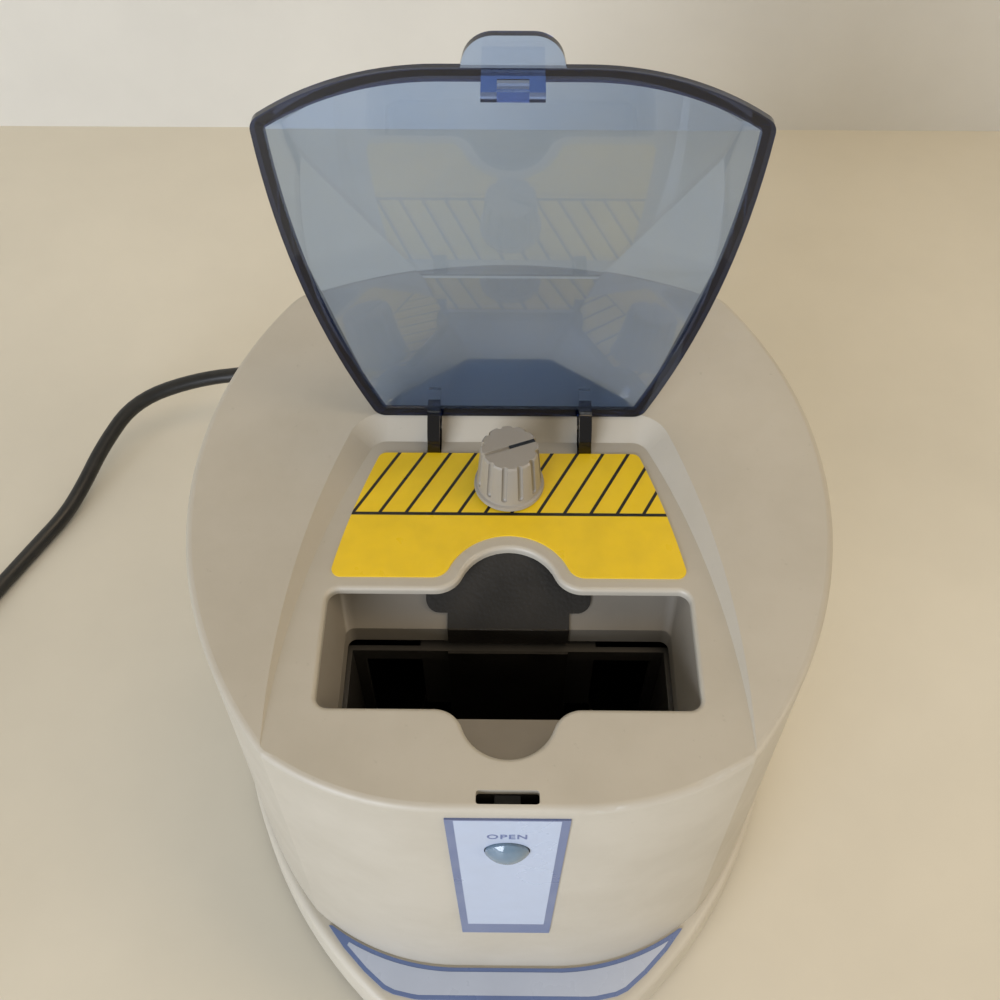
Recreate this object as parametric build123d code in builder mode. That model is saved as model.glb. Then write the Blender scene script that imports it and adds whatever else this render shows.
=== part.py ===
from build123d import *
from math import atan2, cos, pi, radians, sin, sqrt, tan
import os

# Small microplate centrifuge that spins two plates stood on their short sides.
# Millimetres. The origin lies on the bench, on the rotor's axis; +Z is up and -Y is the front.

os.makedirs("parts", exist_ok=True)

# ---- driving dimensions ----------------------------------------------------------------------
deck_z = 170.0                  # recessed deck floor above the bench
seam_z = 24.0                   # joint between the upper housing and the base
wall = 2.5                      # moulded wall of the housing
shoulder_slope = 3.0            # degrees by which the shoulders rise to the rear
front_y = -96.8                 # flat middle of the front wall
front_flat = 16.5               # half width of that flat
corner_x, corner_y = 61.0, -83.0    # front corners of the deck

top_level = 180.0               # height at which the upper plan outline is given
top_side = (-34.6, -1.8, 125.3)     # side arc of that outline: centre x, centre y, radius
top_rear, top_rear_corner = 86.5, 70.5
low_side = (-31.3, 9.1, 131.6)      # side arc of the outline at the seam
low_rear, low_rear_corner = 92.0, 76.0
rear_round = 12.0               # rounding of the rear corners in plan
shoulder_round = 2.0            # rounding of the shoulder's and the deck's outer edge

recess_mid_x, recess_mid_y = 55.6, -33.0    # middle of the recess's curved side
recess_rear_x, recess_rear_y = 39.6, 16.2
recess_lean = 50.0              # degrees by which the recess wall leans outward
recess_round = 5.0

slot_x, slot_front, slot_rear = 98.0, -70.15, -35.3     # plate opening in the deck
slot_round = 3.3
opening_round = 1.2             # rounding of the opening's top edge
arch_r, arch_y = 13.8, -35.5    # finger cut-out behind the opening
notch_r, notch_y = 12.2, -71.3  # finger cut-out in front of it
arch_blend, notch_blend = 8.0, 7.5      # rounding between the cut-outs and the straight edges

mouth_x, mouth_front, mouth_rear = 90.8, -65.9, -38.5   # lower mouth of the funnel
mouth_drop = 15.8               # mouth below the deck
collar = 6.5                    # depth of the collar under the mouth
funnel_wall = 1.8

base_low = 3.0                  # underside of the base
base_front = -114.0
base_front_flat = 33.0
base_lean = 3.0                 # degrees of draft on the base's outer face
base_round = 3.0
base_floor = 2.5
foot_r, foot_recess = 7.0, 0.8

lid_gap = 0.8                   # gap between lid and recess, and lid and deck
lid_wall = 2.0
rim_height, rim_width = 2.0, 3.1
lid_open = 92.0                 # degrees from closed to the stop
lid_front_rise = 4.0            # outer height of the dome over its rim, front to rear
lid_break_y, lid_break_rise = -21.0, 20.0
lid_rear_rise, lid_rear_lean = 22.0, 2.6
lid_short, lid_rear_reach = 1.4, 1.1    # how far the lid stands behind the front wall and recess
bevel_inset, bevel_run, bevel_rise = 0.9, 9.8, 12.0     # sloping walls between rim and dome
ridge_x = 25.0                  # half width of the roof where it bends
facet_front_rise, facet_rear_rise = 7.5, 4.0
tab_x, tab_reach, tab_round = 11.7, 7.6, 7.0
hinge_y, hinge_rise = 21.5, 0.8     # hinge axis behind the rotor's axis and above the deck
arm_x, arm_width = 22.2, 3.6
arm_inner, arm_outer = 6.3, 9.7     # radii of the curved arm about the hinge axis
hub_r, pin_r = 2.8, 1.2
running = 0.05                  # radial clearance of a pin or shaft in its hole
seat_gap = 0.02                 # radial clearance of a pin that stays put in its hole
part_gap = 0.3                  # gap between pieces that move past each other
arm_slot_front, arm_slot_rear = 11.2, 24.9
ear_thick, ear_front, ear_rear = 2.5, 17.5, 26.5    # ears in the housing that hold the pins

tongue_x, tongue_front, tongue_rear = 7.0, -94.6, -92.2     # latch tongue under the lid
tongue_drop = 9.2
latch_slot_x, latch_slot_front, latch_slot_rear = 7.7, -95.1, -91.6
latch_slot_round = 0.8
button_z, button_r, button_hole_r = 143.5, 5.65, 5.95
button_travel = 2.6
latch_slot_low = 160.0          # how far down the tongue's slot is cut into the front wall
board_front, board_thick = -90.4, 1.6
board_peg_x, board_peg_z, board_peg_r = 26.0, (49.0, 91.0), 2.5

shaft_r, knob_gap = 3.0, 0.6
knob_skirt_r, knob_top_r, knob_height = 10.1, 7.8, 16.9
flute_count = 12
bushing_r = 5.5                 # bushing in the deck, round the shaft

rotor_top = 146.0
pocket_x, pocket_front, pocket_rear = 88.6, -65.0, -41.0    # room for one plate
pocket_wall = 1.6
pocket_depth = 128.5
bowl_r, bowl_wall, bowl_top = 82.0, 1.5, 129.0
motor_r, motor_low, motor_top = 29.0, 13.0, 92.0

base_side = (-67.2, 23.2, 173.0)    # front side arc of the base: centre x, centre y, radius
base_wide_y = 5.0
base_rear, base_rear_corner = 98.0, (88.5, 82.5)
base_front_round, base_rear_round, base_edge_round = 13.5, 14.0, 1.0
ledge_thick, lip_height, lip_wall = 2.2, 2.5, 1.6
boss_r, head_hole_r, head_seat = 4.5, 3.6, 9.0
screw_head, screw_length = 2.2, 30.0
bowl_low, bowl_hole_r = 9.0, 36.0

ramp_rear = -20.5               # where the ramp behind the plate meets the deck
scoop_x = 20.6
flange_x, flange_front, flange_rear = 56.0, -84.5, -12.0
mouth_round = 2.5
leaf_x, leaf_strip_x, leaf_ear, leaf_round = 23.0, 17.0, 4.6, 3.8
leaf_thick, leaf_drop, leaf_rear_gap = 0.8, 6.5, 1.2

plate_thick, label_thick = 0.4, 0.5
hazard_rear_x, hazard_rear = 37.9, 11.7
hazard_mid_x, hazard_mid_y = 44.5, -10.0
hazard_low_x, hazard_front = 49.0, -31.5
hazard_round, hazard_margin, hazard_blend = 2.5, 4.0, 5.0
label_top_x, label_top = 15.4, 165.3
label_low_x, label_low = 13.5, 67.2
crescent_edge = [(30.0, -108.0), (38.0, -106.3), (41.7, -104.6), (48.5, -99.0), (56.0, -91.5),
                 (62.0, -84.0)]

lid_seat = 0.6                  # closed rim above the deck
lid_round = 4.0
tab_tip_x, tab_thick = 9.8, 2.0
window_x, window_low, window_top = 3.5, 8.0, 4.0
arm_start, arm_sweep, arm_pad, arm_rise = 178.0, 107.0, 3.3, 7.0
spoke_width, spoke_back = 3.0, 10.0

stem_r, stem_rear = 2.0, -91.2
flange_r, flange_face, flange_back = 7.0, -94.0, -92.5
button_edge, button_face = -98.0, -100.6
slide_x, slide_front, slide_thick = 9.0, -91.2, 2.0
slide_low, slide_top = 138.5, 166.0
nose_x, nose_tip, nose_low, nose_top = 3.2, -93.9, 163.2, 165.8
bracket_x, bracket_rear, bracket_wall = 11.5, -82.5, 2.0
bracket_low, bracket_height = 136.5, 15.4
spring_r, spring_wire = 2.5, 0.5

knob_waist_r, knob_rim = 9.3, 1.6
pointer_turn = 21.0             # degrees from +X to the knob's pointer
flute_low, flute_width = 2.6, 1.6
groove_width, groove_depth = 1.2, 0.5
shaft_low, shaft_top = 72.0, 183.0
bushing_flange = 1.5
hub_x, hub_low, hub_wall, collar_r = 25.0, 110.0, 3.0, 9.0
pocket_round = 5.0
window_in, window_out, window_floor, window_ceiling = 17.5, 41.0, 70.0, 141.0
strap_length = 106.0
mount_r, mount_thick = 34.0, 2.0
isolator_at, isolator_r = 19.0, 5.0
motor_boss_r = 12.0

relief_length, relief_ribs = 26.5, 6
relief_root_r, relief_tip_r, relief_groove = 6.5, 4.9, 1.2
cord_r = 3.5
coil_x, coil_y, coil_r = -302.0, -40.0, 48.0
coil_turns, coil_gap, layer_gap = 3, 0.8, 0.7
plug_length, plug_width, plug_height, plug_z = 30.0, 25.0, 21.0, 10.6
plug_neck, plug_taper = 12.0, 13.0
blade_x, blade_up, ground_down, ground_r = 6.35, 2.0, 6.0, 2.4
tail_step = 3.0

hinge_z = deck_z + hinge_rise
front_wall_in = front_y + wall
ear_offset = arm_width / 2 + part_gap + ear_thick / 2
screw_posts = [(75.6, -58.0), (-75.6, -58.0), (80.0, 64.0), (-80.0, 64.0)]
post_r, post_top, screw_r = 4.0, 60.0, 1.5
relief_x, relief_z, relief_hole_r, relief_seat_r = -35.0, 46.0, 5.0, 9.5
relief_seat_y = 83.0
slope = tan(radians(shoulder_slope))


def save(builder, name):
    """Label a finished piece and write it."""
    builder.part.label = name
    export_step(builder.part, f"parts/{name}.step")


def side_x(arc, y, inset=0.0):
    """Half width of a plan outline's side arc at a given y."""
    centre_x, centre_y, radius = arc
    return centre_x + sqrt((radius - inset) ** 2 - (y - centre_y) ** 2)


def plan_outline(arc, rear, rear_corner, inset, z):
    """Plan of the body without its front wall, which is cut off afterwards."""
    close_y = front_y - 5
    rear_y, corner = rear - inset, rear_corner - inset
    corner_half, close_half = side_x(arc, corner, inset), side_x(arc, close_y, inset)
    mid_y = arc[1]
    with BuildSketch(Plane.XY.offset(z)) as sketch:
        with BuildLine():
            ThreePointArc((corner_half, corner), (0, rear_y), (-corner_half, corner))
            ThreePointArc((-corner_half, corner), (-side_x(arc, mid_y, inset), mid_y),
                          (-close_half, close_y))
            Line((-close_half, close_y), (close_half, close_y))
            ThreePointArc((close_half, close_y), (side_x(arc, mid_y, inset), mid_y),
                          (corner_half, corner))
        make_face()
        fillet(sketch.vertices().group_by(Axis.Y)[-1], rear_round - inset)
    return sketch.sketch


def front_outline(inset, z):
    """Everything behind the front wall: a flat middle and two arcs back to the corners."""
    y = front_y + inset
    with BuildSketch(Plane.XY.offset(z)) as sketch:
        with BuildLine():
            Line((-front_flat, y), (front_flat, y))
            right = TangentArc((front_flat, y), (corner_x, corner_y + inset), tangent=(1, 0))
            centre = right.arc_center
            far_y = centre.Y - sqrt(right.radius ** 2 - (80 - centre.X) ** 2)
            TangentArc((corner_x, corner_y + inset), (80, far_y), tangent=right % 1)
            Polyline((80, far_y), (140, far_y), (140, 140), (-140, 140), (-140, far_y), (-80, far_y))
            left = TangentArc((-front_flat, y), (-corner_x, corner_y + inset), tangent=(-1, 0))
            TangentArc((-corner_x, corner_y + inset), (-80, far_y), tangent=left % 1)
        make_face()
    return sketch.sketch


def recess_outline(grow, z):
    """Floor of the recess that the lid lies in."""
    with BuildSketch(Plane.XY.offset(z)) as sketch:
        with BuildLine():
            Line((-corner_x, corner_y), (corner_x, corner_y))
            ThreePointArc((corner_x, corner_y), (recess_mid_x, recess_mid_y),
                          (recess_rear_x, recess_rear_y))
            Line((recess_rear_x, recess_rear_y), (-recess_rear_x, recess_rear_y))
            ThreePointArc((-recess_rear_x, recess_rear_y), (-recess_mid_x, recess_mid_y),
                          (-corner_x, corner_y))
        make_face()
        if grow:
            offset(amount=grow, kind=Kind.INTERSECTION, mode=Mode.REPLACE)
        fillet(sketch.vertices().group_by(Axis.Y)[-1], recess_round + grow)
    return sketch.sketch


def opening_outline(grow, z):
    """Plate opening with its two finger cut-outs."""
    length = slot_rear - slot_front
    with BuildSketch(Plane.XY.offset(z)) as sketch:
        with Locations((0, (slot_rear + slot_front) / 2)):
            RectangleRounded(slot_x + 2 * grow, length + 2 * grow, slot_round + grow)
        with Locations((0, arch_y)):
            Circle(arch_r + grow)
        with Locations((0, notch_y)):
            Circle(notch_r + grow)
        for blend, side in ((arch_blend, 1), (notch_blend, -1)):
            fillet([v for v in sketch.vertices() if arch_r - 3 < abs(v.X) < arch_r + 3
                    and side * (v.Y - (slot_front + slot_rear) / 2) > 0
                    and abs(v.Y - (slot_front if side < 0 else slot_rear)) < grow + 1],
                   blend - grow)
    return sketch.sketch


def above_shoulders(drop):
    """Side view of the space above the shoulders and the deck's front strip."""
    reach = 140
    with BuildSketch(Plane.YZ) as sketch:
        with BuildLine():
            Polyline((-reach, deck_z - drop), (corner_y, deck_z - drop),
                     (reach, deck_z - drop + (reach - corner_y) * slope),
                     (reach, deck_z + 60), (-reach, deck_z + 60), close=True)
        make_face()
    return sketch.sketch


# ---- upper housing ---------------------------------------------------------------------------
lean = radians(recess_lean)
relief_outside = 87.4           # flat spot that the strain relief's flange lies on


def front_plane(y):
    """Upright plane that faces the front, with its x to the right and its y up."""
    return Plane.XZ.offset(-y)


def inner_prism(inset, z, height):
    """Upright block with the plan of the housing at its seam, set in by the inset."""
    with BuildPart() as block:
        extrude(plan_outline(low_side, low_rear, low_rear_corner, inset, z), amount=height)
        extrude(front_outline(inset, z), amount=height, mode=Mode.INTERSECT)
    return block.part


with BuildPart() as cavity:
    loft([plan_outline(low_side, low_rear, low_rear_corner, wall, seam_z - 1),
          plan_outline(top_side, top_rear, top_rear_corner, wall, top_level)])
    extrude(front_outline(wall, 0), amount=220, mode=Mode.INTERSECT)
    extrude(above_shoulders(wall), amount=150, both=True, mode=Mode.SUBTRACT)
    extrude(recess_outline(wall / cos(lean) - wall * tan(lean), deck_z - wall), amount=20,
            taper=-recess_lean, mode=Mode.SUBTRACT)

with BuildPart() as upper_housing:
    loft([plan_outline(low_side, low_rear, low_rear_corner, 0, seam_z),
          plan_outline(top_side, top_rear, top_rear_corner, 0, top_level)])
    extrude(front_outline(0, 0), amount=220, mode=Mode.INTERSECT)
    extrude(above_shoulders(0), amount=150, both=True, mode=Mode.SUBTRACT)
    creases = upper_housing.edges().filter_by(
        lambda e: abs(e.center().X) > front_flat + 20 and e.center().Y < corner_y + 12
        and e.bounding_box().size.Z > 100)
    tops = upper_housing.faces().filter_by(lambda f: f.normal_at().Z > 0.9)
    rim = [e for e in tops.edges() if e.bounding_box().size.Y > 0.5 or
           abs(e.center().Y - corner_y) > 1]
    fillet(list(creases) + rim, shoulder_round)
    extrude(recess_outline(0, deck_z), amount=9, taper=-recess_lean, mode=Mode.SUBTRACT)
    add(cavity.part, mode=Mode.SUBTRACT)
    # plate opening, with a rounded edge
    extrude(opening_outline(0, deck_z - wall - 1), amount=wall + 6, mode=Mode.SUBTRACT)
    opening_edges = upper_housing.edges().filter_by(
        lambda e: abs(e.center().Z - deck_z) < 0.01 and abs(e.center().X) < slot_x / 2 + 0.1
        and slot_front - 20 < e.center().Y < slot_rear + 20)
    fillet(opening_edges, opening_round)
    # slots for the lid's arms and for its latch tongue
    with Locations(*[(side * arm_x, (arm_slot_front + arm_slot_rear) / 2, deck_z - wall - 2)
                     for side in (-1, 1)]):
        Box(arm_width + 2 * part_gap, arm_slot_rear - arm_slot_front, 20,
            align=(Align.CENTER, Align.CENTER, Align.MIN), mode=Mode.SUBTRACT)
    with BuildSketch(Plane.XY.offset(latch_slot_low)):
        with Locations((0, (latch_slot_front + latch_slot_rear) / 2)):
            RectangleRounded(2 * latch_slot_x, latch_slot_rear - latch_slot_front, latch_slot_round)
    extrude(amount=20, mode=Mode.SUBTRACT)
    # ears that hold the hinge pins
    for side in (-1, 1):
        for offset_x in (-ear_offset, ear_offset):
            ear_plane = Plane.YZ.offset(side * arm_x + offset_x)
            with BuildSketch(ear_plane):
                with BuildLine():
                    Polyline((ear_front, deck_z - 7), (ear_front, deck_z - 2.2),
                             (hinge_y - 1, deck_z + 2), (hinge_y + 2.5, deck_z + 4),
                             (ear_rear, deck_z + 4), (ear_rear, deck_z - 7), close=True)
                make_face()
            extrude(amount=ear_thick / 2, both=True)
    with BuildSketch(Plane.YZ):
        with Locations((hinge_y, hinge_z)):
            Circle(pin_r + seat_gap)
    extrude(amount=arm_x + ear_offset + ear_thick / 2 + 1, both=True, mode=Mode.SUBTRACT)
    # button hole and stand-offs for the circuit board
    with BuildSketch(front_plane(front_y - 1)):
        with Locations((0, button_z)):
            Circle(button_hole_r)
    extrude(amount=-(wall + 2), mode=Mode.SUBTRACT)
    with BuildSketch(front_plane(front_wall_in - 0.5)):
        with Locations(*[(x, z) for x in (-board_peg_x, board_peg_x) for z in board_peg_z]):
            Circle(board_peg_r)
    extrude(amount=-(board_front - front_wall_in + 0.5))
    # hole for the shaft's bushing
    with Locations((0, 0, deck_z)):
        Cylinder(bushing_r, 2 * wall + 2, mode=Mode.SUBTRACT)
    # seat and hole for the strain relief
    with BuildSketch(Plane.XZ.offset(-relief_seat_y)):
        with Locations((relief_x, relief_z)):
            Circle(relief_seat_r + 2)
    extrude(amount=-(relief_outside - relief_seat_y + 0.5))
    with BuildSketch(Plane.XZ.offset(-relief_outside)):
        with Locations((relief_x, relief_z)):
            Circle(relief_seat_r)
    extrude(amount=-12, mode=Mode.SUBTRACT)
    with BuildSketch(Plane.XZ.offset(-relief_seat_y + 1)):
        with Locations((relief_x, relief_z)):
            Circle(relief_hole_r)
    extrude(amount=-10, mode=Mode.SUBTRACT)
    # posts for the four screws that hold the base
    with Locations(*[(x, y, seam_z) for x, y in screw_posts]):
        Cylinder(post_r, post_top - seam_z, align=(Align.CENTER, Align.CENTER, Align.MIN))
    with Locations(*[(x, y, seam_z - 1) for x, y in screw_posts]):
        Cylinder(screw_r, post_top - 4 - seam_z, align=(Align.CENTER, Align.CENTER, Align.MIN),
                 mode=Mode.SUBTRACT)
    print("housing", upper_housing.part.volume, upper_housing.part.is_valid,
          len(upper_housing.solids()))

save(upper_housing, "upper_housing")

# ---- base ------------------------------------------------------------------------------------
def base_outline(inset, z):
    """Plan of the base at its underside, set in by the inset."""
    start_x = side_x(base_side, base_front + inset, inset)
    wide_x = side_x(base_side, base_wide_y, inset)
    via_y = (base_front + base_wide_y) / 2
    corner_half, corner = base_rear_corner[0] - inset, base_rear_corner[1] - inset
    with BuildSketch(Plane.XY.offset(z)) as sketch:
        with BuildLine():
            Line((-start_x, base_front + inset), (start_x, base_front + inset))
            for side in (-1, 1):
                arc = ThreePointArc((side * start_x, base_front + inset),
                                    (side * side_x(base_side, via_y, inset), via_y),
                                    (side * wide_x, base_wide_y))
                TangentArc((side * wide_x, base_wide_y), (side * corner_half, corner),
                           tangent=arc % 1)
            ThreePointArc((corner_half, corner), (0, base_rear - inset), (-corner_half, corner))
        make_face()
        fillet(sketch.vertices().group_by(Axis.Y)[0], base_front_round - inset)
        fillet(sketch.vertices().group_by(Axis.Y)[-1], base_rear_round - inset)
    return sketch.sketch


draft = tan(radians(base_lean))
floor_top = base_low + base_floor
lip_inset = wall + part_gap
foot_spots = [(58, -78), (-58, -78), (52, 72), (-52, 72)]
bowl_posts = [(42, -42), (-42, -42), (42, 42), (-42, 42)]

with BuildPart() as base_pan:
    extrude(base_outline(0, base_low), amount=seam_z - base_low, taper=base_lean)
    fillet(base_pan.faces().sort_by(Axis.Z)[-1].edges(), base_round)
    fillet(base_pan.faces().sort_by(Axis.Z)[0].edges(), base_edge_round)
    # hollow under the ledge
    extrude(base_outline(wall + (seam_z - ledge_thick - base_low) * draft, floor_top),
            amount=seam_z - ledge_thick - floor_top, mode=Mode.SUBTRACT)
    # rim that centres the housing, and the open middle inside it
    add(inner_prism(lip_inset, seam_z - ledge_thick, ledge_thick + lip_height))
    add(inner_prism(lip_inset + lip_wall, seam_z - ledge_thick - 1, ledge_thick + lip_height + 2),
        mode=Mode.SUBTRACT)
    with Locations(*[(x, y, seam_z) for x, y in screw_posts]):
        Cylinder(post_r + part_gap, 10, align=(Align.CENTER, Align.CENTER, Align.MIN),
                 mode=Mode.SUBTRACT)
    # bosses for the housing's screws and for the bowl
    with Locations(*[(x, y, base_low + 1) for x, y in screw_posts]):
        Cylinder(boss_r, seam_z - base_low - 1, align=(Align.CENTER, Align.CENTER, Align.MIN))
    with Locations(*[(x, y, base_low + 1) for x, y in bowl_posts]):
        Cylinder(post_r, bowl_low - base_low - 1, align=(Align.CENTER, Align.CENTER, Align.MIN))
    with Locations(*[(x, y, base_low - 1) for x, y in screw_posts]):
        Cylinder(head_hole_r, head_seat - base_low + 1,
                 align=(Align.CENTER, Align.CENTER, Align.MIN), mode=Mode.SUBTRACT)
        Cylinder(screw_r + 0.2, seam_z, align=(Align.CENTER, Align.CENTER, Align.MIN),
                 mode=Mode.SUBTRACT)
    # seats for the feet
    with Locations(*[(x, y, base_low) for x, y in foot_spots]):
        Cylinder(foot_r + seat_gap, 2 * foot_recess, mode=Mode.SUBTRACT)
    print("base", base_pan.part.volume, base_pan.part.is_valid, len(base_pan.solids()))
save(base_pan, "base_pan")

for number, (x, y) in enumerate(foot_spots, 1):
    with BuildPart() as foot:
        with Locations((x, y, 0)):
            Cylinder(foot_r, base_low + foot_recess,
                     align=(Align.CENTER, Align.CENTER, Align.MIN))
        fillet(foot.edges().group_by(Axis.Z)[0], 0.8)
    save(foot, f"foot_{number}")

for number, (x, y) in enumerate(screw_posts, 1):
    with BuildPart() as screw:
        with Locations((x, y, head_seat - screw_head)):
            Cylinder(head_hole_r - 0.4, screw_head, align=(Align.CENTER, Align.CENTER, Align.MIN))
            Cylinder(screw_r, screw_length, align=(Align.CENTER, Align.CENTER, Align.MIN))
        with Locations((x, y, head_seat - screw_head)):
            Box(3.6, 0.9, 1.6, mode=Mode.SUBTRACT)
            Box(0.9, 3.6, 1.6, mode=Mode.SUBTRACT)
    save(screw, f"base_screw_{number}")

# ---- plate funnel under the deck -------------------------------------------------------------
mouth_z = deck_z - mouth_drop
under_z = deck_z - wall
ramp_lean = (ramp_rear - mouth_rear) / (under_z - mouth_z)      # run of the ramp per mm of drop
ramp_wall = funnel_wall * sqrt(1 + ramp_lean ** 2)


def slot_rectangle(half_x, front, rear, grow, grow_rear, corner, z):
    """Rounded rectangle in plan between two depths, with its own growth at the rear."""
    with BuildSketch(Plane.XY.offset(z)) as sketch:
        with Locations((0, (front - grow + rear + grow_rear) / 2)):
            RectangleRounded(2 * (half_x + grow), rear + grow_rear - front + grow, corner)
    return sketch.sketch


with BuildPart() as slot_funnel:
    loft([slot_rectangle(mouth_x / 2, mouth_front, mouth_rear, funnel_wall, ramp_wall,
                         slot_round, mouth_z - funnel_wall),
          slot_rectangle(slot_x / 2, slot_front, ramp_rear, funnel_wall, ramp_wall,
                         slot_round + funnel_wall, under_z)])
    # scoop for the finger in front of the plate
    with BuildSketch(Plane.XY.offset(mouth_z - funnel_wall)):
        add(opening_outline(funnel_wall, 0))
        with Locations((0, mouth_front - 15)):
            Rectangle(2 * (scoop_x + funnel_wall), 40, mode=Mode.INTERSECT)
    extrude(amount=under_z - mouth_z + funnel_wall)
    # flange glued under the deck, and the collar round the mouth
    with BuildSketch(Plane.XY.offset(under_z - funnel_wall)):
        with Locations((0, (flange_front + flange_rear) / 2)):
            RectangleRounded(2 * flange_x, flange_rear - flange_front, 4)
    extrude(amount=funnel_wall)
    add(slot_rectangle(mouth_x / 2, mouth_front, mouth_rear, funnel_wall, funnel_wall,
                       mouth_round + funnel_wall, mouth_z - collar))
    extrude(amount=collar)
    # inside
    loft([slot_rectangle(mouth_x / 2, mouth_front, mouth_rear, 0, 0, mouth_round, mouth_z),
          slot_rectangle(slot_x / 2, slot_front, ramp_rear, 0, 0, slot_round, under_z)],
         mode=Mode.SUBTRACT)
    with BuildSketch(Plane.XY.offset(mouth_z)):
        add(opening_outline(0, 0))
        with Locations((0, mouth_front - 15)):
            Rectangle(2 * scoop_x, 40, mode=Mode.INTERSECT)
    extrude(amount=mouth_drop, mode=Mode.SUBTRACT)
    add(slot_rectangle(mouth_x / 2, mouth_front, mouth_rear, 0, 0, mouth_round,
                       mouth_z - collar - 1))
    extrude(amount=collar + 2, mode=Mode.SUBTRACT)
    print("funnel", slot_funnel.part.volume, slot_funnel.part.is_valid,
          len(slot_funnel.solids()))
save(slot_funnel, "slot_funnel")

# dark leaf that lies on the ramp and hangs down into the mouth
ramp_turn = atan2(under_z - mouth_z, ramp_rear - mouth_rear)
ramp_plane = Plane(origin=(0, mouth_rear, mouth_z), x_dir=(1, 0, 0),
                   z_dir=(0, -sin(ramp_turn), cos(ramp_turn)))
ramp_length = (under_z - mouth_z) / sin(ramp_turn)
with BuildPart() as guard_leaf:
    with BuildSketch(ramp_plane) as leaf_face:
        with Locations((0, leaf_ear)):
            Rectangle(2 * leaf_x, ramp_length - leaf_ear - leaf_rear_gap,
                      align=(Align.CENTER, Align.MIN))
        fillet(leaf_face.vertices().group_by(Axis.Z)[0], leaf_round)
        Rectangle(2 * leaf_strip_x, ramp_length - leaf_rear_gap - 0.5,
                  align=(Align.CENTER, Align.MIN))
        inner = [v for v in leaf_face.vertices() if abs(abs(v.X) - leaf_strip_x) < 0.01
                 and v.Z > mouth_z + 1]
        fillet(inner, leaf_round / 2)
    extrude(amount=leaf_thick)
    with BuildSketch(front_plane(mouth_rear)):
        with Locations((0, mouth_z + leaf_thick)):
            Rectangle(2 * leaf_strip_x, leaf_drop + leaf_thick, align=(Align.CENTER, Align.MAX))
    extrude(amount=leaf_thick)
    print("leaf", guard_leaf.part.volume, guard_leaf.part.is_valid, len(guard_leaf.solids()))
save(guard_leaf, "guard_leaf")

# ---- labels ----------------------------------------------------------------------------------
with BuildPart() as hazard_plate:
    with BuildSketch(Plane.XY.offset(deck_z)) as face:
        with BuildLine():
            Polyline((hazard_low_x, hazard_front), (-hazard_low_x, hazard_front))
            for side in (-1, 1):
                ThreePointArc((side * hazard_low_x, hazard_front),
                              (side * hazard_mid_x, hazard_mid_y),
                              (side * hazard_rear_x, hazard_rear))
            Line((-hazard_rear_x, hazard_rear), (hazard_rear_x, hazard_rear))
        make_face()
        fillet(face.vertices(), hazard_round)
        with Locations((0, arch_y)):
            Circle(arch_r + hazard_margin, mode=Mode.SUBTRACT)
        inner = [v for v in face.vertices() if abs(v.X) < arch_r + hazard_margin
                 and v.Y < hazard_front + 1]
        fillet(inner, hazard_blend)
        Circle(knob_skirt_r - 2, mode=Mode.SUBTRACT)
    extrude(amount=plate_thick)
save(hazard_plate, "hazard_plate")

with BuildPart() as front_label_plate:
    with BuildSketch(front_plane(front_y)):
        with BuildLine():
            Polyline((-label_top_x, label_top), (label_top_x, label_top),
                     (label_low_x, label_low), (-label_low_x, label_low), close=True)
        make_face()
        with Locations((0, button_z)):
            Circle(button_hole_r, mode=Mode.SUBTRACT)
    extrude(amount=label_thick)
save(front_label_plate, "front_label_plate")

with BuildPart() as crescent_plate:
    with BuildSketch(Plane.XY.offset(seam_z)) as face:
        with BuildLine():
            Polyline(*[(side * x, y) for side, (x, y) in
                       [(-1, p) for p in crescent_edge] + [(1, p) for p in crescent_edge[::-1]]],
                     close=True)
        make_face()
        fillet(face.vertices().group_by(Axis.Y)[0], 20)
    extrude(amount=label_thick)
    with BuildPart(mode=Mode.PRIVATE) as behind:
        extrude(front_outline(-part_gap - 0.6, seam_z - 1), amount=5)
    add(behind.part, mode=Mode.SUBTRACT)
    print("crescent", crescent_plate.part.volume, len(crescent_plate.solids()))
save(crescent_plate, "crescent_plate")

# ---- lid, built in its closed position on a plane that is turned to the open stop --------------
lid_turn = radians(lid_open)
hinge_plane = Plane(origin=(0, hinge_y, hinge_z), x_dir=(1, 0, 0),
                    z_dir=(0, sin(lid_turn), cos(lid_turn)))
closed = Plane(origin=hinge_plane.from_local_coords((0, -hinge_y, -hinge_z)),
               x_dir=(1, 0, 0), z_dir=hinge_plane.z_dir)
rim_z = deck_z + lid_seat


def lid_side(x):
    """Side view in the lid's own closed coordinates: local x is y, local y is z."""
    return Plane(origin=closed.from_local_coords((x, 0, 0)), x_dir=closed.y_dir,
                 z_dir=(1, 0, 0))


def lid_outline(inset, z):
    """Plan of the closed lid, a little inside the recess and behind the front wall."""
    rear_y = recess_rear_y + lid_rear_reach
    with BuildSketch(closed.offset(z)) as sketch:
        with BuildLine():
            Line((-front_flat, front_y + lid_short), (front_flat, front_y + lid_short))
            for side in (-1, 1):
                TangentArc((side * front_flat, front_y + lid_short),
                           (side * corner_x, corner_y + lid_short), tangent=(side, 0))
                ThreePointArc((side * corner_x, corner_y + lid_short),
                              (side * recess_mid_x, recess_mid_y),
                              (side * recess_rear_x, rear_y))
            Line((recess_rear_x, rear_y), (-recess_rear_x, rear_y))
        make_face()
        offset(amount=-lid_gap - inset, kind=Kind.INTERSECTION, mode=Mode.REPLACE)
        corners = [v for v in sketch.vertices() if abs(v.X) > recess_rear_x - 8]
        fillet(corners, max(lid_round - inset, 1.0))
    return sketch.sketch


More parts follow.
